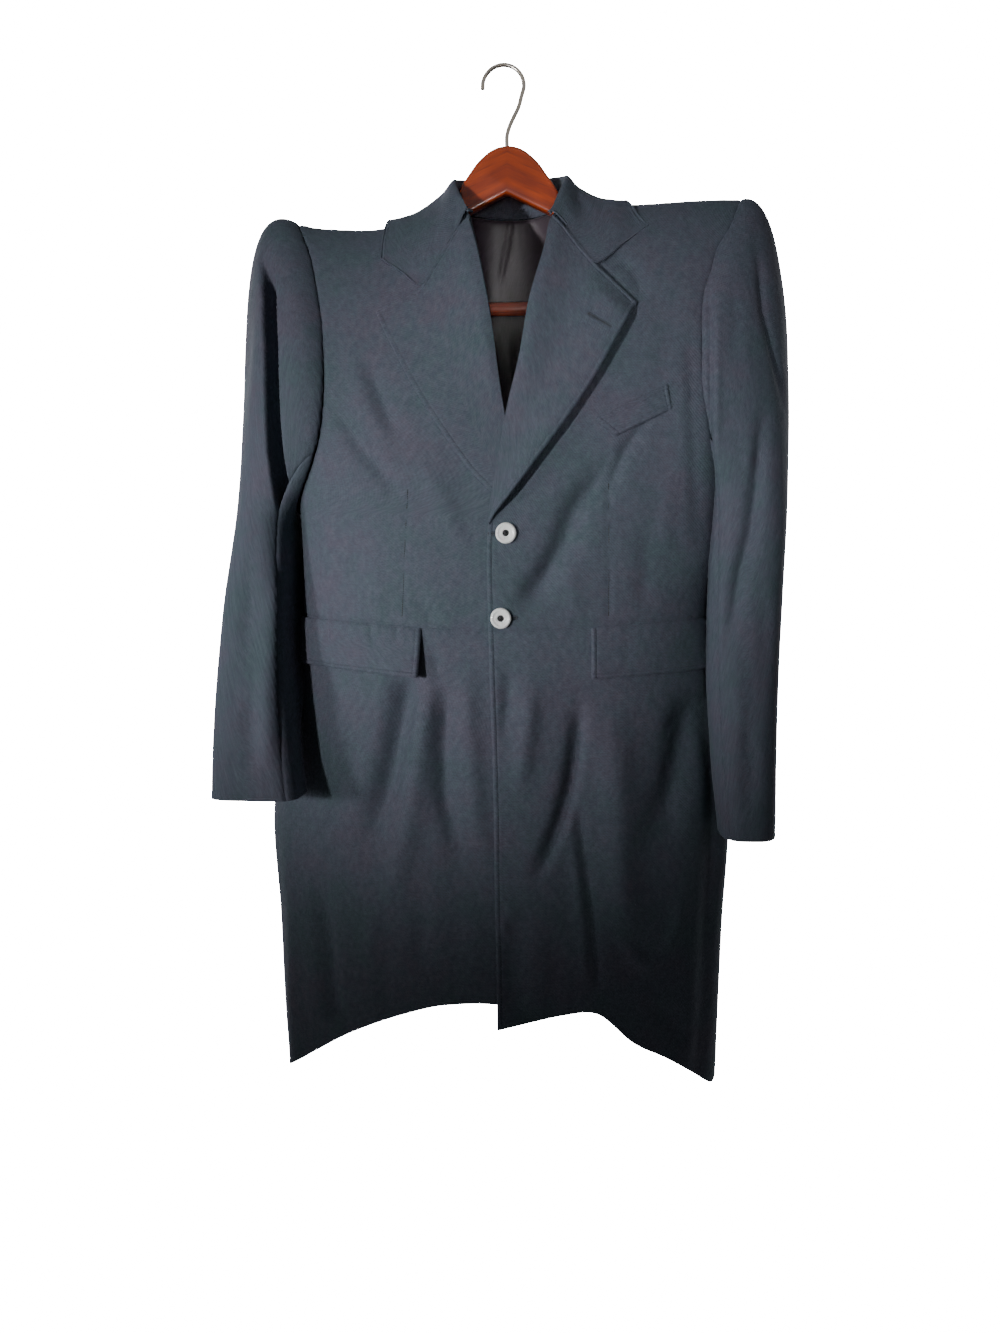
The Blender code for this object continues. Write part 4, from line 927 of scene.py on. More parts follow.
skirts = {
    1: dict(
        node="skirt_left", flat=(0.60, 0.50), area=0.2590, seed=31,
        hem=dict(share=(0, 0.06, 0.11, 0.165, 0.23, 0.30, 0.37, 0.44, 0.5, 0.6, 0.8, 1),
                 drop=(991, 981, 975, 975, 1008, 1030, 1054, 1074, 1070, 1056, 1032, 1020)),
        folds=(
            dict(share=0.350, lean=0.02, width=0.040, depth=-4, opens=760, full=980),
            dict(share=0.410, lean=-0.10, width=0.030, depth=5, opens=620, full=720),
            dict(share=0.620, lean=0.05, width=0.045, depth=-9, opens=640, full=880),
            dict(share=0.720, lean=0.05, width=0.035, depth=9, opens=640, full=860),
            dict(share=0.830, lean=0.02, width=0.045, depth=-8, opens=640, full=900),
            dict(share=0.920, lean=0.0, width=0.030, depth=7, opens=660, full=880)),
        creases=(
            furrow(3.6, 7, (0.3, 0.4), (12, 610), (10, 652), (5, 700), face=-1),
            furrow(-5.0, 9, (0.3, 0.4), (34, 625), (30, 680), (19, 755), face=-1),
            furrow(11, 17, (0.3, 0.3), (84, 640), (82, 688), (76, 733), (66, 772), (52, 808), (32, 845),
                   lip=8.0, face=-1),
            furrow(3.0, 5.5, (0.25, 0.12), (74, 715), (83, 787), (95, 874), (102, 960), face=-1),
            furrow(-2.4, 6, (0.3, 0.2), (72, 760), (76, 800), (86, 900), (90, 960), face=-1),
            furrow(-8.0, 18, (0.35, 0.25), (112, 640), (118, 740), (122, 830), (133, 910), face=-1),
            furrow(-4.0, 7, (0.35, 0.35), (124, 888), (136, 916), (152, 929), (170, 917), (182, 890),
                   (188, 845), face=-1),
            furrow(11, 18, (0.25, 0.4), (202, 630), (194, 668), (180, 735), (160, 790), (146, 825),
                   face=-1),
            furrow(1.6, 5, (0.4, 0.4), (184, 664), (163, 696), face=-1),
            furrow(1.8, 6, (0.4, 0.4), (190, 720), (176, 760), (180, 800), face=-1),
            furrow(5.0, 15, (0.4, 0.1), (24, 860), (16, 920), (20, 985), face=-1),
            furrow(-1.7, 4.5, (0.3, 0.3), (5, 848), (16, 864), (5, 880), (15, 898), face=-1),
            furrow(1.8, 9, (0.4, 0.2), (52, 880), (58, 930), (54, 972), face=-1),
            furrow(2.6, 10, (0.4, 0.2), (150, 965), (176, 985), (196, 1020), face=-1),
            furrow(2.4, 12, (0.3, 0.4), (120, 600), (134, 680), (150, 760), face=1),
            furrow(-3.6, 15, (0.3, 0.4), (190, 640), (170, 740), (176, 850), face=1),
            furrow(3.4, 10, (0.2, 0.4), (60, 590), (66, 680), (76, 780), face=1))),
    -1: dict(
        node="skirt_right", flat=(0.62, 0.50), area=0.2699, seed=32,
        hem=dict(share=(0, 0.1, 0.14, 0.2, 0.3, 0.38, 0.46, 0.52, 0.62, 0.8, 1),
                 drop=(966, 966, 969, 981, 1009, 1037, 1063, 1074, 1062, 1032, 1020)),
        folds=(
            dict(share=0.445, lean=0.0, width=0.030, depth=-4, opens=740, full=880),
            dict(share=0.640, lean=0.05, width=0.045, depth=-9, opens=640, full=880),
            dict(share=0.740, lean=0.05, width=0.035, depth=9, opens=640, full=860),
            dict(share=0.840, lean=0.02, width=0.045, depth=-8, opens=640, full=900),
            dict(share=0.930, lean=0.0, width=0.030, depth=7, opens=660, full=880)),
        creases=(
            furrow(16, 14, (0.15, 0.45), (-92, 622), (-97, 650), (-106, 692), (-118, 744), (-130, 785),
                   (-140, 830), face=-1),
            furrow(-7.0, 13, (0.2, 0.35), (-66, 620), (-76, 670), (-84, 729), (-92, 785), (-104, 832),
                   (-118, 884), face=-1),
            furrow(8.5, 10, (0.25, 0.45), (-53, 622), (-57, 700), (-54, 755), (-43, 800), (-40, 845),
                   face=-1),
            furrow(-4.6, 10, (0.3, 0.4), (-34, 600), (-29, 680), (-22, 770), (-12, 840), face=-1),
            furrow(-4.5, 15, (0.4, 0.4), (-168, 645), (-170, 700), (-184, 750), face=-1),
            furrow(-1.8, 5, (0.4, 0.4), (-176, 760), (-190, 785), (-203, 808), face=-1),
            furrow(-1.5, 4.5, (0.4, 0.4), (-166, 784), (-184, 808), (-198, 838), face=-1),
            furrow(8.0, 12, (0.35, 0.1), (-196, 840), (-188, 900), (-178, 1000), face=-1),
            furrow(-2.2, 8, (0.4, 0.4), (-134, 865), (-132, 900), (-142, 940), face=-1),
            furrow(2.4, 10, (0.4, 0.2), (-86, 830), (-78, 880), (-82, 940), face=-1),
            furrow(-1.8, 11, (0.4, 0.1), (-30, 850), (-24, 900), (-28, 960), face=-1),
            furrow(1.8, 8, (0.4, 0.2), (-112, 905), (-120, 950), (-116, 985), face=-1),
            furrow(1.4, 6, (0.3, 0.4), (-62, 598), (-64, 620), (-60, 650), face=-1),
            furrow(2.6, 12, (0.3, 0.4), (-126, 600), (-140, 690), (-150, 780), face=1),
            furrow(-3.4, 15, (0.3, 0.4), (-196, 650), (-184, 750), (-170, 860), face=1),
            furrow(3.2, 10, (0.2, 0.4), (-56, 590), (-64, 680), (-70, 770), face=1)))}
skirtBuild = dict(
    fall=455.0,
    ventShift=13.0,      # both back edges end this far to the wearer's right, so they only meet
    behindFrom=0.84)     # share of the way round from which the left skirt lies over the right one's level


def foldDepth(side, share, drop):
    depth = np.zeros_like(share)
    for fold in skirts[side]["folds"]:
        middle = fold["share"] + fold["lean"] * (drop - 700) * 0.001
        grow = ease((drop - fold["opens"]) / (fold["full"] - fold["opens"]))
        depth += fold["depth"] * grow * np.exp(-((share - middle) / fold["width"]) ** 2)
    return depth


def skirtForm(side, columns=260, rows=80):
    hem = skirts[side]["hem"]
    share = np.linspace(0, 1, columns)
    waistPoints, _ = sectionPoint(side, np.linspace(0, 180, columns), waist)
    hemDrop = read(hem, "drop", share, by="share")
    grid = []
    for row in np.linspace(0, 1, rows):
        guess = build["waistRow"] + row * skirtBuild["fall"]
        start = turnOf(side, float(read(frontEdge[side], "x", guess)), guess)
        end = 180 - turnOf(side, float(read(body, "centre", guess)) - skirtBuild["ventShift"], guess)
        turns = evenTurns(side, start, end, lambda x: np.zeros_like(x) + guess, columns)
        drop = waist(waistPoints[:, 0])
        points = None
        for _ in range(3):
            top = waist(points[:, 0]) if points is not None else drop
            drop = top + row * (hemDrop - top)
            points, out = sectionPoint(side, turns, lambda x: drop)
        behind = cloth["overlap"] * side * ease((share - skirtBuild["behindFrom"]) / 0.1)
        grid.append(movedOut(points, out + behind - foldDepth(side, share, drop), side))
    return np.array(grid)


def makeSkirt(side):
    own = skirts[side]
    form = trimmed(skirtForm(side), (0, 0), (cloth["halfGap"], 0))
    piece, points, normal = sewnSheet(
        own["node"] + "_cloth", form, dict(left="turned", right="turned", top="seam", bottom="hem"),
        own["creases"], cell=(3.7, 4.4), seed=own["seed"], wave=0.7, flip=side < 0)
    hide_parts(own["node"])
    return [topRow(points, normal, end) for end in ("left", "right")]


for side in (1, -1):
    frontStitches += makeSkirt(side)
topStitches("frontStitches", frontStitches)
print("skirts made")

# Sleeves

sleeves = {
    1: dict(
        drop=(480, 552, 640, 720, 789), centreX=(250, 248, 246.5, 247.5, 251),
        centreY=(-8, -22, -42, -56, -66), halfX=(42, 39.5, 35.5, 31.5, 27),
        halfY=(58, 53, 49, 49, 50), square=(3.0, 3.2, 3.2, 3.1, 3.0), fullness=0.6, rise=-0.2),
    -1: dict(
        drop=(480, 554, 640, 700, 752), centreX=(-257, -260, -257.5, -252.5, -246.5),
        centreY=(-12, -34, -66, -88, -106), halfX=(31, 34, 37.5, 41, 44.5),
        halfY=(60, 52, 43, 38, 34), square=(2.6, 3.1, 3.6, 4.0, 4.2), fullness=0.95, rise=0.06)}
sleeveBuild = dict(
    gapDrop=(400, 545, 572, 640, 690, 800), gap=(4.8, 4.8, 5.0, 5.0, 5.2, 5.5),
    setOut=3.4, headOut=1.8, frontSeam=128.0, backSeam=288.0)
sleeveParts = {
    (1, "top"): dict(
        node="topsleeve_left", cell=(2.2, 3.6), flat=(0.245, 0.66), area=0.1144, seed=41, creases=(
        furrow(3.4, 3.2, (0.15, 0.3), (207, 205), (207, 252), (208, 362), (212, 524), (218, 624),
               face=-1),
        furrow(-1.8, 4.5, (0.3, 0.4), (214, 240), (214, 300), (214, 362), (217, 440), face=-1),
        furrow(7.0, 7.5, (0.3, 0.3), (263, 340), (259, 412), (251, 481), (240, 524), (231, 580),
               (225, 623), face=-1),
        furrow(3.0, 4.5, (0.3, 0.3), (252, 172), (258, 215), (262, 262), (278, 326), (288, 368),
               face=-1),
        furrow(1.6, 8, (0.4, 0.4), (231, 220), (233, 280), (229, 340), face=-1),
        furrow(2.0, 9, (0.4, 0.4), (262, 520), (266, 590), (260, 660), face=-1),
        furrow(-1.8, 8, (0.4, 0.4), (236, 600), (240, 660), (236, 730), face=-1),
        furrow(2.0, 8, (0.4, 0.3), (246, 660), (251, 710), (248, 770), face=-1),
        furrow(2.2, 12, (0.3, 0.4), (258, 170), (268, 260), (272, 360), face=1))),
    (1, "under"): dict(
        node="undersleeve_left", cell=(3.6, 4.0), flat=(0.125, 0.60), area=0.0539, seed=42, creases=(
        furrow(2.0, 8, (0.4, 0.4), (214, 500), (216, 560), (218, 640)),
        furrow(2.6, 11, (0.4, 0.4), (240, 470), (246, 560), (242, 660), face=1))),
    (-1, "top"): dict(
        node="topsleeve_right", cell=(1.8, 1.9), flat=(0.245, 0.62), area=0.1091, seed=43, creases=(
        furrow(32, 6.0, (0.16, 0.10), (-243, 186), (-243, 200), (-237, 237), (-231, 297), (-228, 358),
               (-226, 398), (-222, 439), (-219, 470), (-216, 510), floor=10.5, lip=3.6, under=5,
               face=-1),
        furrow(-5.5, 11, (0.25, 0.2), (-232, 500), (-234, 560), (-235, 650), (-228, 735), face=-1),
        furrow(1.8, 9, (0.4, 0.4), (-264, 470), (-259, 560), (-262, 640), face=-1),
        furrow(1.8, 9, (0.4, 0.4), (-272, 230), (-270, 300), (-274, 380), face=-1),
        furrow(1.8, 8, (0.4, 0.3), (-246, 620), (-250, 680), (-246, 735), face=-1),
        furrow(2.4, 12, (0.3, 0.4), (-262, 170), (-272, 260), (-276, 360), face=1))),
    (-1, "under"): dict(
        node="undersleeve_right", cell=(2.8, 4.0), flat=(0.125, 0.56), area=0.0497, seed=44, creases=(
        furrow(20, 6, (0.3, 0.4), (-219, 462), (-217, 500), (-215, 545), floor=5.5, lip=3.4, under=3,
               face=-1),
        furrow(-9.0, 16, (0.2, 0.3), (-232, 480), (-233, 560), (-230, 640), (-222, 700), face=1)))}


def sectionEdge(side, turn, dropOf, lift):
    near = np.array([turn - 1.0, turn, turn + 1.0])
    points, out = sectionPoint(side, near, dropOf, lift)
    return movedOut(points, out, side)[1]


def armholeLoop(side, count, lift=0.0):
    # the armhole seam: shoulder, down the front, underarm, up the back
    rows = np.concatenate([150 + np.array([0.003, 0.6, 1.5, 3, 6]), np.linspace(160, 464, 60)])
    halves = []
    for face, table in (("front", armholeFront[side]), ("back", armholeBack[side])):
        half = []
        for row in rows:
            dropOf = torsoDrop(face, row)
            turn = build["sideSeam"] if row >= build["underarm"] else edgeTurn(side, table, dropOf, side)
            turn = turn if face == "front" else 180 - turn
            half.append(sectionEdge(side, turn, dropOf, lift))
        half = np.array(half if face == "front" else half[::-1])
        length = arc(half)
        halves.append(pointsAt(np.linspace(0, length[-1], count // 2 + 1), length, half))
    return np.concatenate([halves[0], halves[1][1:]])


def clearOfBody(side, points):
    drop = -points[..., 2]
    gap = np.interp(drop, sleeveBuild["gapDrop"], sleeveBuild["gap"])
    face = np.where(points[..., 1] < 0, read(body, "front", drop), read(body, "back", drop))
    power = squareness(side, drop)
    part = np.clip(np.abs(points[..., 1]) / (face + gap), 0, 1)
    reach = (read(body, "halfWidth", drop) + gap) * (1 - part**power) ** (1 / power)
    limit = side * read(body, "centre", drop) + reach + 0.4
    out = np.maximum(side * points[..., 0], limit)
    return np.stack([side * out, points[..., 1], points[..., 2]], -1)


def sleeveRing(side, turns, drop):
    table = sleeves[side]
    power = 2 / read(table, "square", drop)
    c, s = np.cos(np.radians(turns)), np.sin(np.radians(turns))
    x = read(table, "centreX", drop) + side * read(table, "halfX", drop) * np.sign(c) * np.abs(c)**power
    y = read(table, "centreY", drop) - read(table, "halfY", drop) * np.sign(s) * np.abs(s)**power
    return np.stack([x, y, np.full_like(x, -drop)], -1)


def sleeveForm(side, start, end, columns, rows=130):
    # from 0 to 1 the rows make the head, from 1 to 2 the arm
    table = sleeves[side]
    turns = np.linspace(start, end, columns)
    low = ease((115 - np.abs(turns % 360 - 180)) / 40)[:, None]
    seam = np.zeros((columns, 3))
    for lift, weight in ((0.0, 1 - low), (sleeveBuild["setOut"], low)):
        loop = armholeLoop(side, 240, lift)
        seam += weight * pointsAt(turns % 360.0001, np.linspace(0, 360, len(loop)), loop)
    seam[:, 0] += side * sleeveBuild["headOut"] * (1 - low[:, 0])
    first, last = table["drop"][0], table["drop"][-1]
    ring = clearOfBody(side, sleeveRing(side, turns, first))
    fall = (clearOfBody(side, sleeveRing(side, turns, first + 10)) - ring) / 10
    reach = np.linalg.norm(ring - seam, axis=-1, keepdims=True)
    c, s = np.cos(np.radians(turns)), np.sin(np.radians(turns))
    leave = np.stack([side * (0.66 + 0.14 * c), -0.5 * s, 0.45 * c + table["rise"]], -1)
    leave *= reach * table["fullness"]
    grid = []
    for row in np.concatenate([np.linspace(0, 0.1, 12)[:-1], np.linspace(0.1, 2, rows)]):
        if row <= 1:
            t = row
            points = ((2 * t**3 - 3 * t**2 + 1) * seam + (t**3 - 2 * t**2 + t) * leave
                      + (3 * t**2 - 2 * t**3) * ring + (t**3 - t**2) * fall * reach)
        else:
            points = sleeveRing(side, turns, first + (row - 1) * (last - first))
        pushed = clearOfBody(side, points)
        share = ease((-points[:, 2] - 440) / 20)[:, None] * ease(row / 0.28)
        grid.append(points + (pushed - points) * share)
    return np.array(grid)


def makeSleeve(side):
    half = cloth["halfGap"]
    front, rear = sleeveBuild["frontSeam"], sleeveBuild["backSeam"]
    for part, start, end, columns in (("top", rear - 360, front, 110), ("under", front, rear, 90)):
        own = sleeveParts[side, part]
        form = trimmed(sleeveForm(side, start, end, columns), (half, half), (half, 0))
        piece = sewnSheet(
            own["node"] + "_cloth", form, dict(left="seam", right="seam", top="seam", bottom="hem"),
            own["creases"], cell=own["cell"], seed=own["seed"], wave=0.5, flip=side > 0)[0]
        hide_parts(own["node"])


for side in (1, -1):
    makeSleeve(side)
print("sleeves made")

# Lapels

lapels = {
    1: dict(
        node="lapel_left", flat=(0.105, 0.325), area=0.0194, seed=51,
        rollDrop=(165, 200, 240, 290, 340, 390, 430, 460, 473),
        edgeX=(135, 122, 107, 89, 67, 38, 14, -3, -8.5),
        edgeDrop=(257, 281, 309, 341, 374, 414, 447, 467, 477), notch=(95, 219), standOff=9.5),
    -1: dict(
        node="lapel_right", flat=(0.105, 0.325), area=0.0205, seed=52,
        rollDrop=(163, 200, 240, 290, 340, 390, 430, 452, 464),
        edgeX=(-128, -116, -103, -82, -57, -28, -2, 11, 18),
        edgeDrop=(261, 285, 309, 346, 384, 424, 449, 460, 469), notch=(-80, 239), standOff=1.2)}
lapelAcross = (0, 0.07, 0.2, 0.38, 0.55, 0.78, 1)
lapelLift = (2.7, 4.8, 4.6, 3.8, 3.2, 2.9, 2.8)
lapelNotchShare = 0.55   # how far across the top edge bends down to the notch


def lapelForm(side, columns=60, rows=110):
    own = lapels[side]
    inner = innerEdge[side]
    at = np.linspace(0, 1, len(own["rollDrop"]))
    topRoll = np.array([read(inner, "x", own["rollDrop"][0]), own["rollDrop"][0]])
    topEdge = np.array([own["edgeX"][0], own["edgeDrop"][0]])
    bend = np.array(own["notch"]) - (topRoll * (1 - lapelNotchShare) + topEdge * lapelNotchShare)
    p = np.linspace(0, 1, columns)
    grid = []
    for row in np.linspace(0, 1, rows):
        roll = float(smooth(at, own["rollDrop"], row))
        edge = np.array([float(smooth(at, own["edgeX"], row)), float(smooth(at, own["edgeDrop"], row))])
        start = np.array([float(read(inner, "x", roll)), roll + 0.3])
        flat = start + (edge - start) * p[:, None]
        flat += bend * (np.interp(p, (0, lapelNotchShare, 1), (0, 1, 0)) * (1 - ease(row / 0.3)))[:, None]
        flat[:, 1] += 0.6 * (1 - ease(row / 0.15))
        lift = smooth(lapelAcross, lapelLift, p)
        lift = lapelLift[0] + (lift - lapelLift[0]) * (1 - ease((flat[:, 1] - 300) / 70))
        # the free edge stands off the chest, least at its two ends
        free = ease((p - 0.35) / 0.6) * ease(row / 0.12) * ease((1 - row) / 0.3)
        swell = np.sin(np.pi * p) * 1.6 * ease((1 - row) / 0.3)
        grid.append(bodyPoint(side, "front", flat[:, 0], flat[:, 1], lift + own["standOff"] * free + swell))
    return np.array(grid)


def makeLapel(side):
    own = lapels[side]
    piece, points, normal = sewnSheet(
        own["node"] + "_cloth", lapelForm(side),
        dict(left="fold", right="turned", top="turned", bottom="fold"),
        cell=(2.2, 2.4), seed=own["seed"], wave=0.3, inner="slateTwill", flip=side < 0)
    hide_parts(own["node"])
    outer = "right" if side > 0 else "left"
    top, topUp = insetLine(points, normal, "top", cloth["stitchInset"])
    free = np.abs(top[:, 0]) > abs(own["notch"][0]) + 3
    rows = [topRow(points, normal, outer), stitchRow(top[free], topUp[free], cloth["stitchPitch"])]
    return rows, points, normal


lapelStitches = []
lapelSheets = {}
for side in (1, -1):
    rows, points, normal = makeLapel(side)
    lapelStitches += rows
    lapelSheets[side] = (points, normal)
topStitches("lapelStitches", lapelStitches)
print("lapels made")

# Collar

collarForms = {
    1: (dict(neck=(48, 163.5), crease=(48.5, -50.5, 161), middle=(95, 218), outer=(146, 176)),
        dict(neck=(57, 150), crease=(55, -35.5, 139), middle=(99, 181), outer=(138, 163)),
        dict(neck=(66, 137.5), crease=(61, -12, 117), middle=(90, 137), outer=(122, 144)),
        dict(neck=(50, 139.5), crease=(55, 14, 109), middle=(76, 128), outer=(98, 158)),
        dict(neck=(28, 141), crease=(33, 38, 104), middle=(44, 126), outer=(55, 166)),
        dict(neck=(0, 142), crease=(0, 47, 103), middle=(0, 126), outer=(0, 166))),
    -1: (dict(neck=(-36, 160.5), crease=(-36.5, -55.5, 158), middle=(-80, 238), outer=(-125, 208)),
         dict(neck=(-48, 150), crease=(-46, -35, 137), middle=(-86, 190), outer=(-126, 180)),
         dict(neck=(-66, 138.5), crease=(-53, -12, 118), middle=(-86, 146), outer=(-124, 159)),
         dict(neck=(-50, 139.5), crease=(-52, 14, 110), middle=(-76, 132), outer=(-98, 163)),
         dict(neck=(-28, 141), crease=(-33, 38, 104), middle=(-44, 126), outer=(-55, 166)),
         dict(neck=(0, 142), crease=(0, 47, 103), middle=(0, 126), outer=(0, 166)))}
collarPiece = dict(node="collar", flat=(0.46, 0.125), area=0.0397, lift=4.4, standOff=5.0, seed=61)


def aboveBody(side, points, lift):
    x, y, drop = points[..., 0], points[..., 1], -points[..., 2]
    moved = points.copy()
    for face, sign in (("front", -1), ("back", 1)):
        level = np.maximum(drop, ridge(x, face) + 1.0)
        base = bodyPoint(side, face, x, level)
        steep = sign * (bodyPoint(side, face, x, level, 1.0) - base)[..., 1]
        surface = base[..., 1] + sign * lift / np.maximum(steep, 0.5)
        deeper = (drop > ridge(x, face) - lift) & (sign * y > -2.0) & (sign * y < sign * surface)
        moved[..., 1] = np.where(deeper, surface, moved[..., 1])
    return moved


def collarLine(side, n, station):
    # one line across the collar: up the stand to the crease, and down the fall to its outer edge
    face = "front" if n < 2 else "back"
    neck = bodyPoint(side, face, *station["neck"], 0.0)
    if n == 2:
        neck = np.array([station["neck"][0], 0.0, -station["neck"][1]])
    neck = neck + np.array([-side * 2.2 if n < 5 else 0.0, -1.2 if n > 2 else 0.0, 0.6])
    top = np.array(station["crease"], float) * (1, 1, -1)
    outer = bodyPoint(side, "front" if n < 3 else "back", *station["outer"], collarPiece["lift"])
    if n == 2:
        outer = np.array([station["outer"][0], -2.0, -station["outer"][1] + collarPiece["lift"] + 1.0])
    middleX, middleDrop = station["middle"]
    if n == 0:
        middle = bodyPoint(side, "front", middleX, middleDrop, 3.4)
        fall = [top + (middle - top) * t for t in (0.12, 0.4, 0.7, 1.0)] + [
            middle + (outer - middle) * t for t in (0.5, 1.0)]
        # the end runs on a little under the lapel's top edge, so that no gap shows at the seam between them
        lifts = (4.2, 3.0, 2.6, 2.8, 3.6, 3.6)
        tucks = (1.5, 3.0, 3.0, 1.2, 0, 0)
        fall = [bodyPoint(side, "front", p[0] - side * tuck * 0.8, -p[2] + tuck * 0.7, lift)
                for p, lift, tuck in zip(fall, lifts, tucks)]
    else:
        middleY = (top[1] + outer[1]) / 2 + (-3.0 if n < 3 else 4.0)
        pull = np.array([middleX, middleY, -middleDrop]) * 2 - (top + outer) / 2
        fall = [(1 - t)**2 * top + 2 * t * (1 - t) * pull + t * t * outer
                for t in (0.06, 0.25, 0.45, 0.64, 0.82, 1.0)]
        fall[0] = top + np.array([side * 2.0 if n < 5 else 0.0, -0.5 if n < 3 else 2.0, 0.3])
    stand = [neck, neck * 0.5 + top * 0.5, top + np.array([0, 0, -2.5])]
    return np.array(stand + [top + np.array([side * 0.6, 0, 0.6])] + fall)


def collarSide(side, columns=110, coarse=14):
    lines = np.array([collarLine(side, n, s) for n, s in enumerate(collarForms[side])])
    knots = np.linspace(0, 1, len(lines))
    at = np.linspace(0, 1, coarse)
    grid = np.array([smoothed(knots, lines[:, row], at) for row in range(lines.shape[1])])
    grid[4:] = aboveBody(side, grid[4:], collarPiece["lift"])
    return np.array([smoothed(at, line, np.linspace(0, 1, columns)) for line in grid])


def collarForm(rows=70):
    left, right = collarSide(1), collarSide(-1)
    coarse = np.concatenate([left, right[:, ::-1][:, 1:]], axis=1)
    run = np.concatenate([[0], np.cumsum(np.linalg.norm(np.diff(coarse, axis=0), axis=-1).mean(1))])
    at = np.linspace(0, run[-1], rows)
    return np.stack([smoothed(run, coarse[:, column], at) for column in range(coarse.shape[1])], axis=1)


def collarStandOff(form, across, down):
    # the wearer's left end of the collar stands off the chest
    fromEnd = across if form[0, 0, 0] > 0 else across[:, -1:] - across
    return collarPiece["standOff"] * np.exp(-(fromEnd / 45) ** 2) * ease((down / down[-1:] - 0.45) / 0.5)


def makeCollar():
    own = collarPiece
    piece, points, normal = sewnSheet(
        "collar_cloth", collarForm(), dict(left="seam", right="seam", top="seam", bottom="turned"),
        cell=(2.8, 2.6), seed=own["seed"], wave=0.25, inner="slateTwill", extra=collarStandOff, flip=True)
    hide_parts(own["node"])
    rows = [topRow(points, normal, "bottom")]
    for end in ("left", "right"):
        line, up = insetLine(points, normal, end, cloth["stitchInset"])
        low = slice(len(line) // 2, None)
        rows.append(stitchRow(line[low], up[low], cloth["stitchPitch"]))
    topStitches("collarStitches", rows)


makeCollar()
print("collar made")

# Pocket flaps and breast welt

flaps = {
    1: dict(node="flap_left", inner=92, outer=213, depth=52.0, flat=(0.15, 0.053), area=0.0079, seed=71,
            standOff=1.6, creases=(
                furrow(0.8, 4, (0.3, 0.4), (128, 590), (130, 622)),)),
    -1: dict(node="flap_right", inner=-78, outer=-222, depth=50.0, flat=(0.19, 0.051), area=0.0096, seed=72,
             standOff=11.5, creases=(
                 furrow(2.4, 3.2, (0.2, 0.5), (-133, 574), (-130, 590), (-129, 604)),
                 furrow(2.0, 3.0, (0.2, 0.5), (-104, 576), (-103, 598)),
                 furrow(1.6, 4, (0.2, 0.5), (-160, 576), (-158, 606)),
                 furrow(1.8, 3.2, (0.2, 0.5), (-183, 572), (-181, 604))))}


def flapForm(side, columns=90, rows=36):
    own = flaps[side]
    grid = []
    for down in np.linspace(0.03, 1, rows):
        def dropOf(x):
            return waist(x) + down * own["depth"]
        start = turnOf(side, own["inner"], float(dropOf(own["inner"])))
        end = turnOf(side, own["outer"], float(dropOf(own["outer"])))
        turns = evenTurns(side, start, end, dropOf, columns)
        share = np.linspace(0, 1, columns)
        free = np.exp(-(share / 0.32) ** 2) * down**1.3
        points, out = sectionPoint(side, turns, dropOf, 0.0)
        grid.append(movedOut(points, out + 3.0 + 1.2 * down + own["standOff"] * free, side))
    return np.array(grid)


def makeFlap(side):
    own = flaps[side]
    piece, points, normal = sewnSheet(
        own["node"] + "_cloth", flapForm(side),
        dict(left="turned", right="turned", top="seam", bottom="turned"), own["creases"],
        cell=(2.2, 2.2), seed=own["seed"], wave=0.25, inner="slateTwill", flip=side < 0)
    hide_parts(own["node"])
    return [topRow(points, normal, end) for end in ("left", "right", "bottom")]


# the welt's corners: the upper one of its end by the centre, the arm's two, and the lower one by the centre
welt = dict(
    node="breast_welt", x=(95, 165, 170, 115), drop=(374, 338, 363, 390), lift=2.6,
    flat=(0.08, 0.031), area=0.0019, seed=73, stitchInset=1.6, stitchPitch=2.6, stitchMargin=3.0)


def weltForm(columns=50, rows=20):
    x, drop = welt["x"], welt["drop"]
    grid = []
    for down in np.linspace(0, 1, rows):
        start = np.array([x[0] + (x[3] - x[0]) * down, drop[0] + (drop[3] - drop[0]) * down])
        end = np.array([x[1] + (x[2] - x[1]) * down, drop[1] + (drop[2] - drop[1]) * down])
        flat = start + (end - start) * np.linspace(0, 1, columns)[:, None]
        grid.append(bodyPoint(1, "front", flat[:, 0], flat[:, 1], welt["lift"]))
    return np.array(grid)


def makeWelt():
    piece, points, normal = sewnSheet(
        "breast_welt_cloth", weltForm(), dict.fromkeys(("left", "right", "top", "bottom"), "turned"),
        cell=(2.0, 2.0), seed=welt["seed"], wave=0.15, inner="slateTwill", keep=6.0)
    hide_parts(welt["node"])
    return [stitchRow(*insetLine(points, normal, end, welt["stitchInset"]), welt["stitchPitch"],
                      welt["stitchMargin"]) for end in ("left", "right")]


topStitches("pocketStitches", makeFlap(1) + makeFlap(-1) + makeWelt())
print("pockets made")

# Lining

lining = dict(node="back_lining", lift=-6.7, inset=22.0, fall=30.0, flat=(0.375, 0.44), area=0.1389,
              seed=81, creases=(
                  furrow(-1.8, 5, (0.02, 0.25), (0.5, 140), (-3, 165), (-9, 190), (-14, 210),
                         lip=1.5),
                  furrow(-3.5, 5, (0.3, 0.4), (18, 262), (16, 300), (24, 350)),
                  furrow(2.5, 6, (0.3, 0.4), (4, 255), (8, 310), (6, 370)),
                  furrow(2.5, 9, (0.3, 0.4), (-40, 170), (-36, 260), (-44, 360)),
                  furrow(2.2, 9, (0.3, 0.4), (48, 175), (44, 250), (52, 340))))


def liningDrop(row):
    def dropOf(x):
        neck = read(backNeck, "drop", x, by="x") + 1.5
        near = np.maximum(np.abs(x), build["neckWidth"]) * np.where(x < 0, -1, 1)
        under = ridge(near) + lining["fall"]
        top = neck + (under - neck) * ease((np.abs(x) - 40) / 50)
        return top + row * (waist(x) - 1.0 - top)
    return dropOf


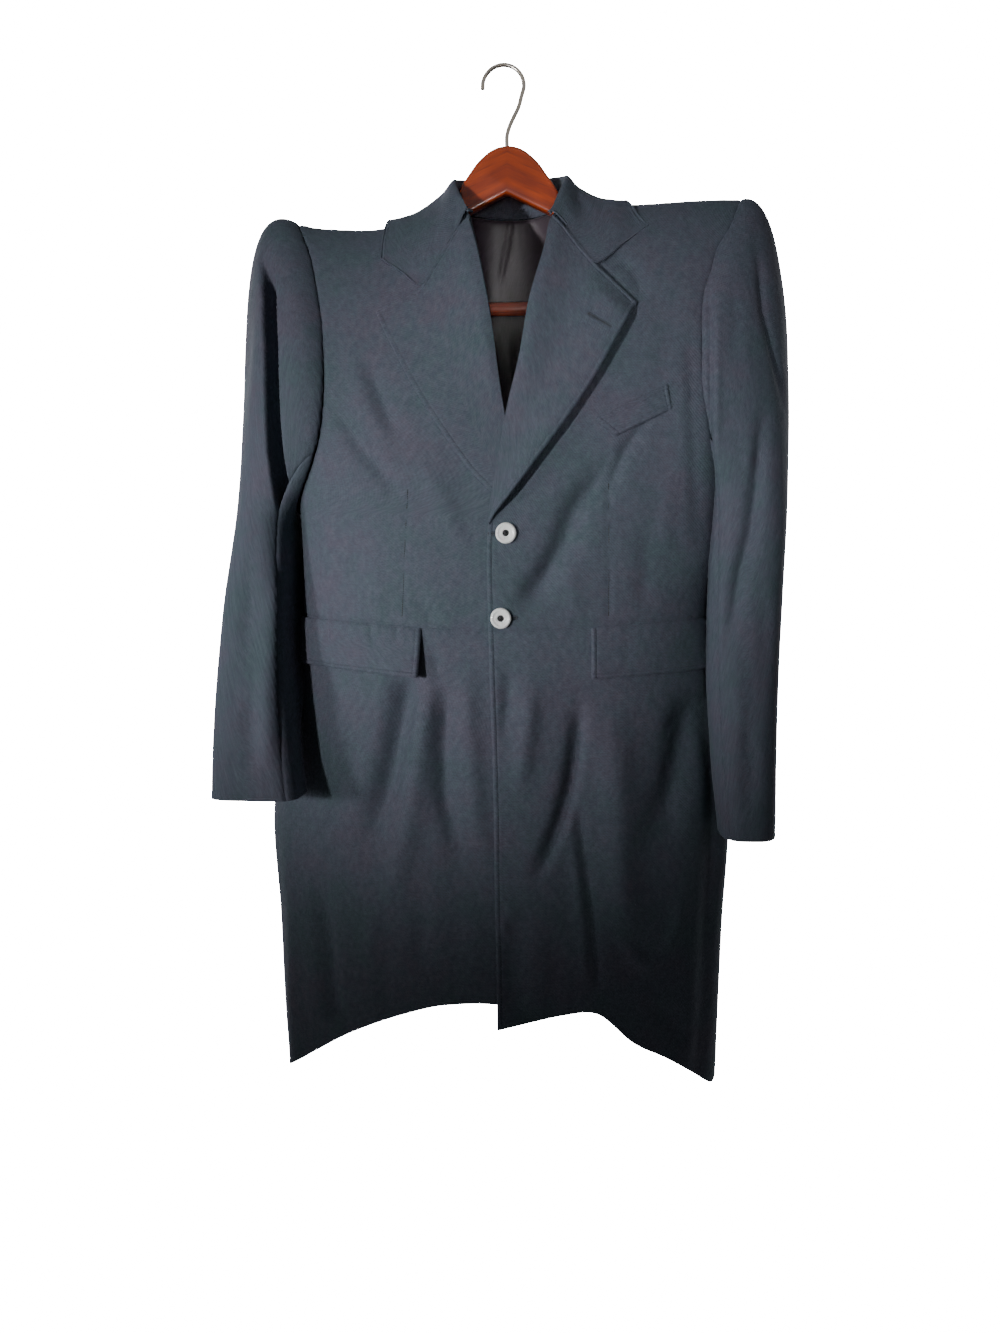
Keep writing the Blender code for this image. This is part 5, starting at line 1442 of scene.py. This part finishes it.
def makeLining():
    rows = np.concatenate([np.linspace(0, 0.1, 24)[:-1], np.linspace(0.1, 1, 90)])
    left, right = (backForm(side, rows, 70, lining["lift"], liningDrop, lining["inset"])
                   for side in (1, -1))
    form = np.concatenate([left, right[:, -2::-1]], axis=1)
    piece = sewnSheet(
        "back_lining_cloth", form, dict(left="hem", right="hem", top="seam", bottom="seam"),
        lining["creases"], cell=(3.0, 4.0), seed=lining["seed"], wave=0.7, wall=cloth["liningWall"],
        outer="plumSatin")[0]
    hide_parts(lining["node"])


makeLining()
print("lining made")

# Buttons and buttonholes

buttons = dict(
    places=dict(button_top=(8, 485), button_bottom=(3, 569)), turns=(0.4, 1.5),
    eyeDeep=2.3, eyeThread=(5.2, 0.8, 0.7), eyeTurns=(35, 55, 125, 145, 90),
    # rings of the turned shape from the back: radius and height
    rings=((8.6, 0.0), (9.6, 0.25), (10.3, 1.1), (10.5, 2.0), (10.3, 2.9), (9.6, 3.75), (8.9, 4.15),
           (8.2, 4.2), (7.6, 3.9), (7.0, 3.45), (6.0, 3.3), (4.6, 3.3), (3.8, 3.2), (3.2, 2.7), (2.9, 1.9)))


def makeButton(node, turn):
    # a disc drawn through its rings: rim, dished face and sunk eye
    rings = buttons["rings"]
    bpy.ops.mesh.primitive_circle_add(vertices=56, radius=rings[0][0] * 0.001, fill_type="NGON")
    piece = bpy.context.object
    piece.name = piece.data.name = node + "_pearl"
    bpy.ops.object.mode_set(mode="EDIT")
    bpy.ops.mesh.select_all(action="SELECT")
    for (wide, low), (nextWide, nextLow) in zip(rings[:-1], rings[1:]):
        bpy.ops.mesh.extrude_region_move(
            TRANSFORM_OT_translate={"value": (0, 0, (nextLow - low) * 0.001), "orient_type": "GLOBAL"})
        grow = nextWide / wide
        bpy.ops.transform.resize(value=(grow, grow, 1), center_override=(0, 0, 0))
    bpy.ops.object.mode_set(mode="OBJECT")
    mesh = piece.data
    mesh.materials.append(bpy.data.materials["pearl"])
    mesh.materials.append(bpy.data.materials["blackThread"])
    # the sunk eye's walls and floor take the near-black finish: painted shade in its hollow; the strands
    # crossing it are real thread
    eye = rings[-3][0] * 0.001
    for face in mesh.polygons:
        inside = max(math.hypot(*mesh.vertices[v].co[:2]) for v in face.vertices) < eye
        if inside and face.center.z > 0.001:
            face.material_index = 1
    x, drop = buttons["places"][node]
    seat = bodyPoint(1, "front", x, drop, cloth["wall"] / 2 + 0.5) * 0.001
    mesh.transform(Matrix.Translation(Vector(seat)) @ Matrix.Rotation(math.pi / 2, 4, "X")
                   @ Matrix.Rotation(turn, 4, "Z"))
    normalsOut()
    rounded(piece, 40)
    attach(piece, "root")
    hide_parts(node)
    return seat * 1000


def eyeThreads(seat):
    # the strands that cross in the eye
    centre = seat + np.array([0, -buttons["eyeDeep"], 0])
    turns = np.radians(buttons["eyeTurns"])
    count = len(turns)
    along = np.stack([np.cos(turns), np.zeros(count), np.sin(turns)], -1)
    up = np.repeat([[0.0, -1.0, 0.0]], count, 0)
    return np.repeat([centre], count, 0) + up * np.arange(count)[:, None] * 0.12, along, up


seats = [makeButton(node, turn) for node, turn in zip(buttons["places"], buttons["turns"])]
stitches("eyeThreads", [eyeThreads(seat) for seat in seats], buttons["eyeThread"], 0.0, "blackThread")

buttonholes = dict(
    # slit: near-black beads along each cut, a painted dark line for the shade in the slit
    length=24.0, stitch=(2.5, 0.75, 0.55), slit=(3.0, 0.7, 0.3), pitch=0.85, lip=1.25,
    # where each starts, as x and drop, and how it slopes
    front=((-8.5, 485.5, 0.0), (-6.5, 568.5, 0.0)), lapel=(88, 271, 0.55))


def holeRows(points, up, lip):
    # stitches laid square to a slit along both of its lips, and round its two ends
    along = unit(np.gradient(points, axis=0))
    across = unit(np.cross(up, along))
    rows = []
    for way in (1, -1):
        rows.append((points + across * lip * way, across, up))
    for end, way in ((0, -1), (-1, 1)):
        fan = np.radians(np.linspace(-70, 70, 6))[:, None]
        out = along[end] * way * np.cos(fan) + across[end] * np.sin(fan)
        rows.append((points[end] + out * lip, unit(out), np.repeat(up[end:][:1], 6, 0)))
    return rows


def makeButtonholes():
    own = buttonholes
    count = int(own["length"] / own["pitch"])
    run = np.linspace(0, own["length"], count)
    rows, slitShadeBeads = [], []
    for x, drop, slope in own["front"]:
        points = bodyPoint(1, "front", x + run, drop + slope * run, 0.0)
        above = bodyPoint(1, "front", x + run, drop + slope * run, 1.0)
        up = unit(above - points)
        points = points + up * cloth["wall"] / 2
        rows += holeRows(points, up, own["lip"])
        slitShadeBeads.append((points[::2], unit(np.gradient(points, axis=0))[::2], up[::2]))
    x, drop, slope = own["lapel"]
    sheet, normal = lapelSheets[1]
    flat = np.stack([x + run * math.cos(slope), drop + run * math.sin(slope)], -1)
    line, up = carried(sheet, normal, flat, 3)
    line = line + up * cloth["wall"] / 2
    rows += holeRows(line, up, own["lip"])
    slitShadeBeads.append((line[::2], unit(np.gradient(line, axis=0))[::2], up[::2]))
    stitches("buttonholeStitches", rows, own["stitch"], 0.05)
    # painted shade: near-black beads along each slit stand in for its dark gap
    stitches("buttonholeSlitShade", slitShadeBeads, own["slit"], 0.1, "blackThread")


makeButtonholes()
print("buttons made")

# Hanger

hanger = dict(
    thick=15.0, edge=3.4,
    top=((0, 81), (14, 84), (28, 94), (46, 117), (53, 128), (61, 141.5), (66, 143.5), (80, 149),
         (95, 155.2), (123, 164.6), (170, 190), (206, 220), (212, 232)),
    bottom=((212, 250), (206, 256), (195.5, 257), (195.3, 237), (186, 226), (150, 205), (100, 181),
            (46, 152), (0, 129)),
    barDrop=247.0, barDiameter=14.0, barHalf=195.0, barEdge=0.9,
    wire=4.5, hookCentre=(-4.5, 19.5), hookRadius=21.7, hookEdge=0.6,
    stem=((-0.5, 80.7), (-0.5, 70), (1.5, 62), (6.5, 51), (11.5, 41)))


def roundedLine(points, steps):
    # a smooth line through points, by their own running length
    points = np.array(points, float)
    run = arc(points)
    return smoothed(run, points, np.linspace(0, run[-1], steps))


def makeWood():
    top = np.array(hanger["top"], float)
    dome = roundedLine(np.concatenate([(top[1:4] * (-1, 1))[::-1], top[:4]]), 33)[16:]
    arm = roundedLine(top[3:], 44)[1:]
    heel = np.array(hanger["bottom"][:4], float)
    under = np.array(hanger["bottom"][4:], float)
    half = np.concatenate([dome, arm, heel, under])
    outline = np.concatenate([half, (half[::-1] * (-1, 1))[1:-1]])
    bpy.ops.mesh.primitive_circle_add(vertices=len(outline), radius=1, fill_type="NGON")
    piece = bpy.context.object
    piece.name = piece.data.name = "hangerWood"
    for vertex, (x, drop) in zip(piece.data.vertices, outline):
        vertex.co = (x * 0.001, hanger["thick"] / 2 * 0.001, -drop * 0.001)
    bpy.ops.object.mode_set(mode="EDIT")
    bpy.ops.mesh.select_all(action="SELECT")
    bpy.ops.mesh.extrude_region_move(
        TRANSFORM_OT_translate={"value": (0, -hanger["thick"] * 0.001, 0), "orient_type": "GLOBAL"})
    normalsOut()
    bevelled(piece, hanger["edge"], 5)
    piece.data.materials.append(bpy.data.materials["cherryLacquer"])
    rounded(piece, 40)
    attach(piece, "root")
    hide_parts("hanger_body")


def makeRod():
    bpy.ops.mesh.primitive_cylinder_add(vertices=64, radius=hanger["barDiameter"] / 2 * 0.001,
                                        depth=2 * hanger["barHalf"] * 0.001)
    piece = bpy.context.object
    piece.name = piece.data.name = "hangerRod"
    piece.data.transform(Matrix.Translation((0, 0, -hanger["barDrop"] * 0.001))
                         @ Matrix.Rotation(math.pi / 2, 4, "Y"))
    bevelled(piece, hanger["barEdge"], 3)
    piece.data.materials.append(bpy.data.materials["rodLacquer"])
    rounded(piece, 40)
    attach(piece, "root")
    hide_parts("hanger_bar")


def makeHook():
    # bent wire: out of the dome, swung to one side, then round over the origin to its cut tip
    centreX, centreDrop = hanger["hookCentre"]
    turns = np.radians(np.linspace(-28, 187, 40))
    bow = np.stack([centreX + hanger["hookRadius"] * np.cos(turns),
                    centreDrop - hanger["hookRadius"] * np.sin(turns)], -1)
    joined = roundedLine(np.concatenate([hanger["stem"], bow[::5], bow[-1:]]), 90)
    bpy.ops.curve.primitive_nurbs_path_add()
    piece = bpy.context.object
    curve = piece.data
    curve.splines.clear()
    line = curve.splines.new("POLY")
    line.points.add(len(joined) - 1)
    for point, (x, drop) in zip(line.points, joined):
        point.co = (x * 0.001, 0, -drop * 0.001, 1)
    curve.dimensions = "3D"
    curve.bevel_depth = hanger["wire"] / 2 * 0.001
    curve.bevel_resolution = 6
    curve.use_fill_caps = True
    bpy.ops.object.convert(target="MESH")
    piece = bpy.context.object
    piece.name = piece.data.name = "hangerHook"
    normalsOut(weld=0.00002)
    bevelled(piece, hanger["hookEdge"], 3, angle=60)
    piece.data.materials.clear()
    piece.data.materials.append(bpy.data.materials["platedWire"])
    rounded(piece, 50)
    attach(piece, "root")
    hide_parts("hanger_hook")


makeWood()
makeRod()
makeHook()
print("hanger made")

# Stage, lights and camera

stage = dict(
    floorDrop=1350.0, floorSize=14.0, white=(1.0, 1.0, 1.0), shown=30.0, ambient=0.03, mirrored=0.3)


def lit(nodes, kind, strength):
    # a plain white source
    made = nodes.new(kind)
    inputs(made, Color=(*stage["white"], 1), Strength=strength)
    return made.outputs[0]


def chosen(nodes, links, ray, other, seen):
    # one shader for a kind of ray, another for the rest
    path = nodes.new("ShaderNodeLightPath")
    mix = nodes.new("ShaderNodeMixShader")
    for socket, value in zip(mix.inputs, (path.outputs[ray], other, seen)):
        links.new(value, socket)
    return mix.outputs[0]


def makeStage():
    size = stage["floorSize"]
    bpy.ops.mesh.primitive_plane_add(size=size, location=(0, 0, -stage["floorDrop"] * 0.001))
    floor = bpy.context.object
    floor.name = "floor"
    made = bpy.data.materials.new("paleFloor")
    made.use_nodes = True
    nodes, links = made.node_tree.nodes, made.node_tree.links
    pale = nodes["Principled BSDF"]
    inputs(pale, Base_Color=(0.6, 0.6, 0.6, 1), Roughness=0.9)
    shown = lit(nodes, "ShaderNodeEmission", stage["shown"])
    links.new(chosen(nodes, links, "Is Camera Ray", pale.outputs[0], shown),
              nodes["Material Output"].inputs["Surface"])
    floor.data.materials.append(made)
    world = bpy.data.worlds.new("studio")
    bpy.context.scene.world = world
    world.use_nodes = True
    nodes, links = world.node_tree.nodes, world.node_tree.links
    nodes.clear()
    # pure white to the camera, grey in what is mirrored, and dim as a source of light
    shown, mirrored, ambient = (lit(nodes, "ShaderNodeBackground", stage[key])
                                for key in ("shown", "mirrored", "ambient"))
    glossy = chosen(nodes, links, "Is Glossy Ray", ambient, mirrored)
    out = nodes.new("ShaderNodeOutputWorld")
    links.new(chosen(nodes, links, "Is Camera Ray", glossy, shown), out.inputs["Surface"])


# with a cone it is a spot lamp, soft to its middle, without one an area lamp; metres, watts and degrees
lamps = (
    dict(name="key", place=(-1.12, -2.0, -0.50), aim=(-0.02, -0.05, -0.36), power=168, size=0.06, cone=30),
    dict(name="front", place=(0.12, -1.9, -0.56), aim=(0.0, 0.05, -0.20), power=30, size=0.1, cone=9),
    dict(name="right", place=(0.6, -2.2, -0.50), aim=(0.20, -0.05, -0.35), power=48, size=0.12, cone=15),
    dict(name="rake", place=(-2.0, -1.3, -0.6), aim=(-0.28, -0.05, -0.62), power=75, size=0.15, cone=22),
    dict(name="bar", place=(0.10, -1.3, 0.75), aim=(0.02, 0.0, -0.262), power=7, size=0.1, cone=5),
    dict(name="fill", place=(-1.4, -2.6, -0.7), aim=(0, 0, -0.55), power=2, size=2.2),
    dict(name="backLeft", place=(-1.6, 1.9, 0.3), aim=(0, 0, -0.5), power=30, size=1.4),
    dict(name="backRight", place=(1.6, 1.9, 0.1), aim=(0, 0, -0.55), power=18, size=1.4))


def makeLamps():
    for own in lamps:
        light = bpy.data.lights.new(own["name"], "SPOT" if "cone" in own else "AREA")
        light.energy = own["power"]
        if "cone" in own:
            light.spot_size = math.radians(own["cone"])
            light.spot_blend = 1.0
            light.shadow_soft_size = own["size"]
        else:
            light.size = own["size"]
        lamp = bpy.data.objects.new(own["name"], light)
        bpy.context.scene.collection.objects.link(lamp)
        lamp.location = own["place"]
        aim = Vector(own["aim"]) - Vector(own["place"])
        lamp.rotation_euler = aim.to_track_quat("-Z", "Y").to_euler()


view = dict(place=(0.110, -1.347, -0.5086), yaw=5.0, pitch=5.0, lens=33.76, sensor=36.0)


def makeCamera():
    camera = bpy.data.cameras.new("camera")
    camera.lens = view["lens"]
    camera.sensor_width = view["sensor"]
    camera.sensor_fit = "AUTO"
    camera.clip_start, camera.clip_end = 0.05, 60
    eye = bpy.data.objects.new("camera", camera)
    bpy.context.scene.collection.objects.link(eye)
    eye.location = view["place"]
    eye.rotation_euler = (math.radians(90 - view["pitch"]), 0, math.radians(view["yaw"]))
    bpy.context.scene.camera = eye


makeStage()
makeLamps()
makeCamera()
deselectAll()
print("stage made")
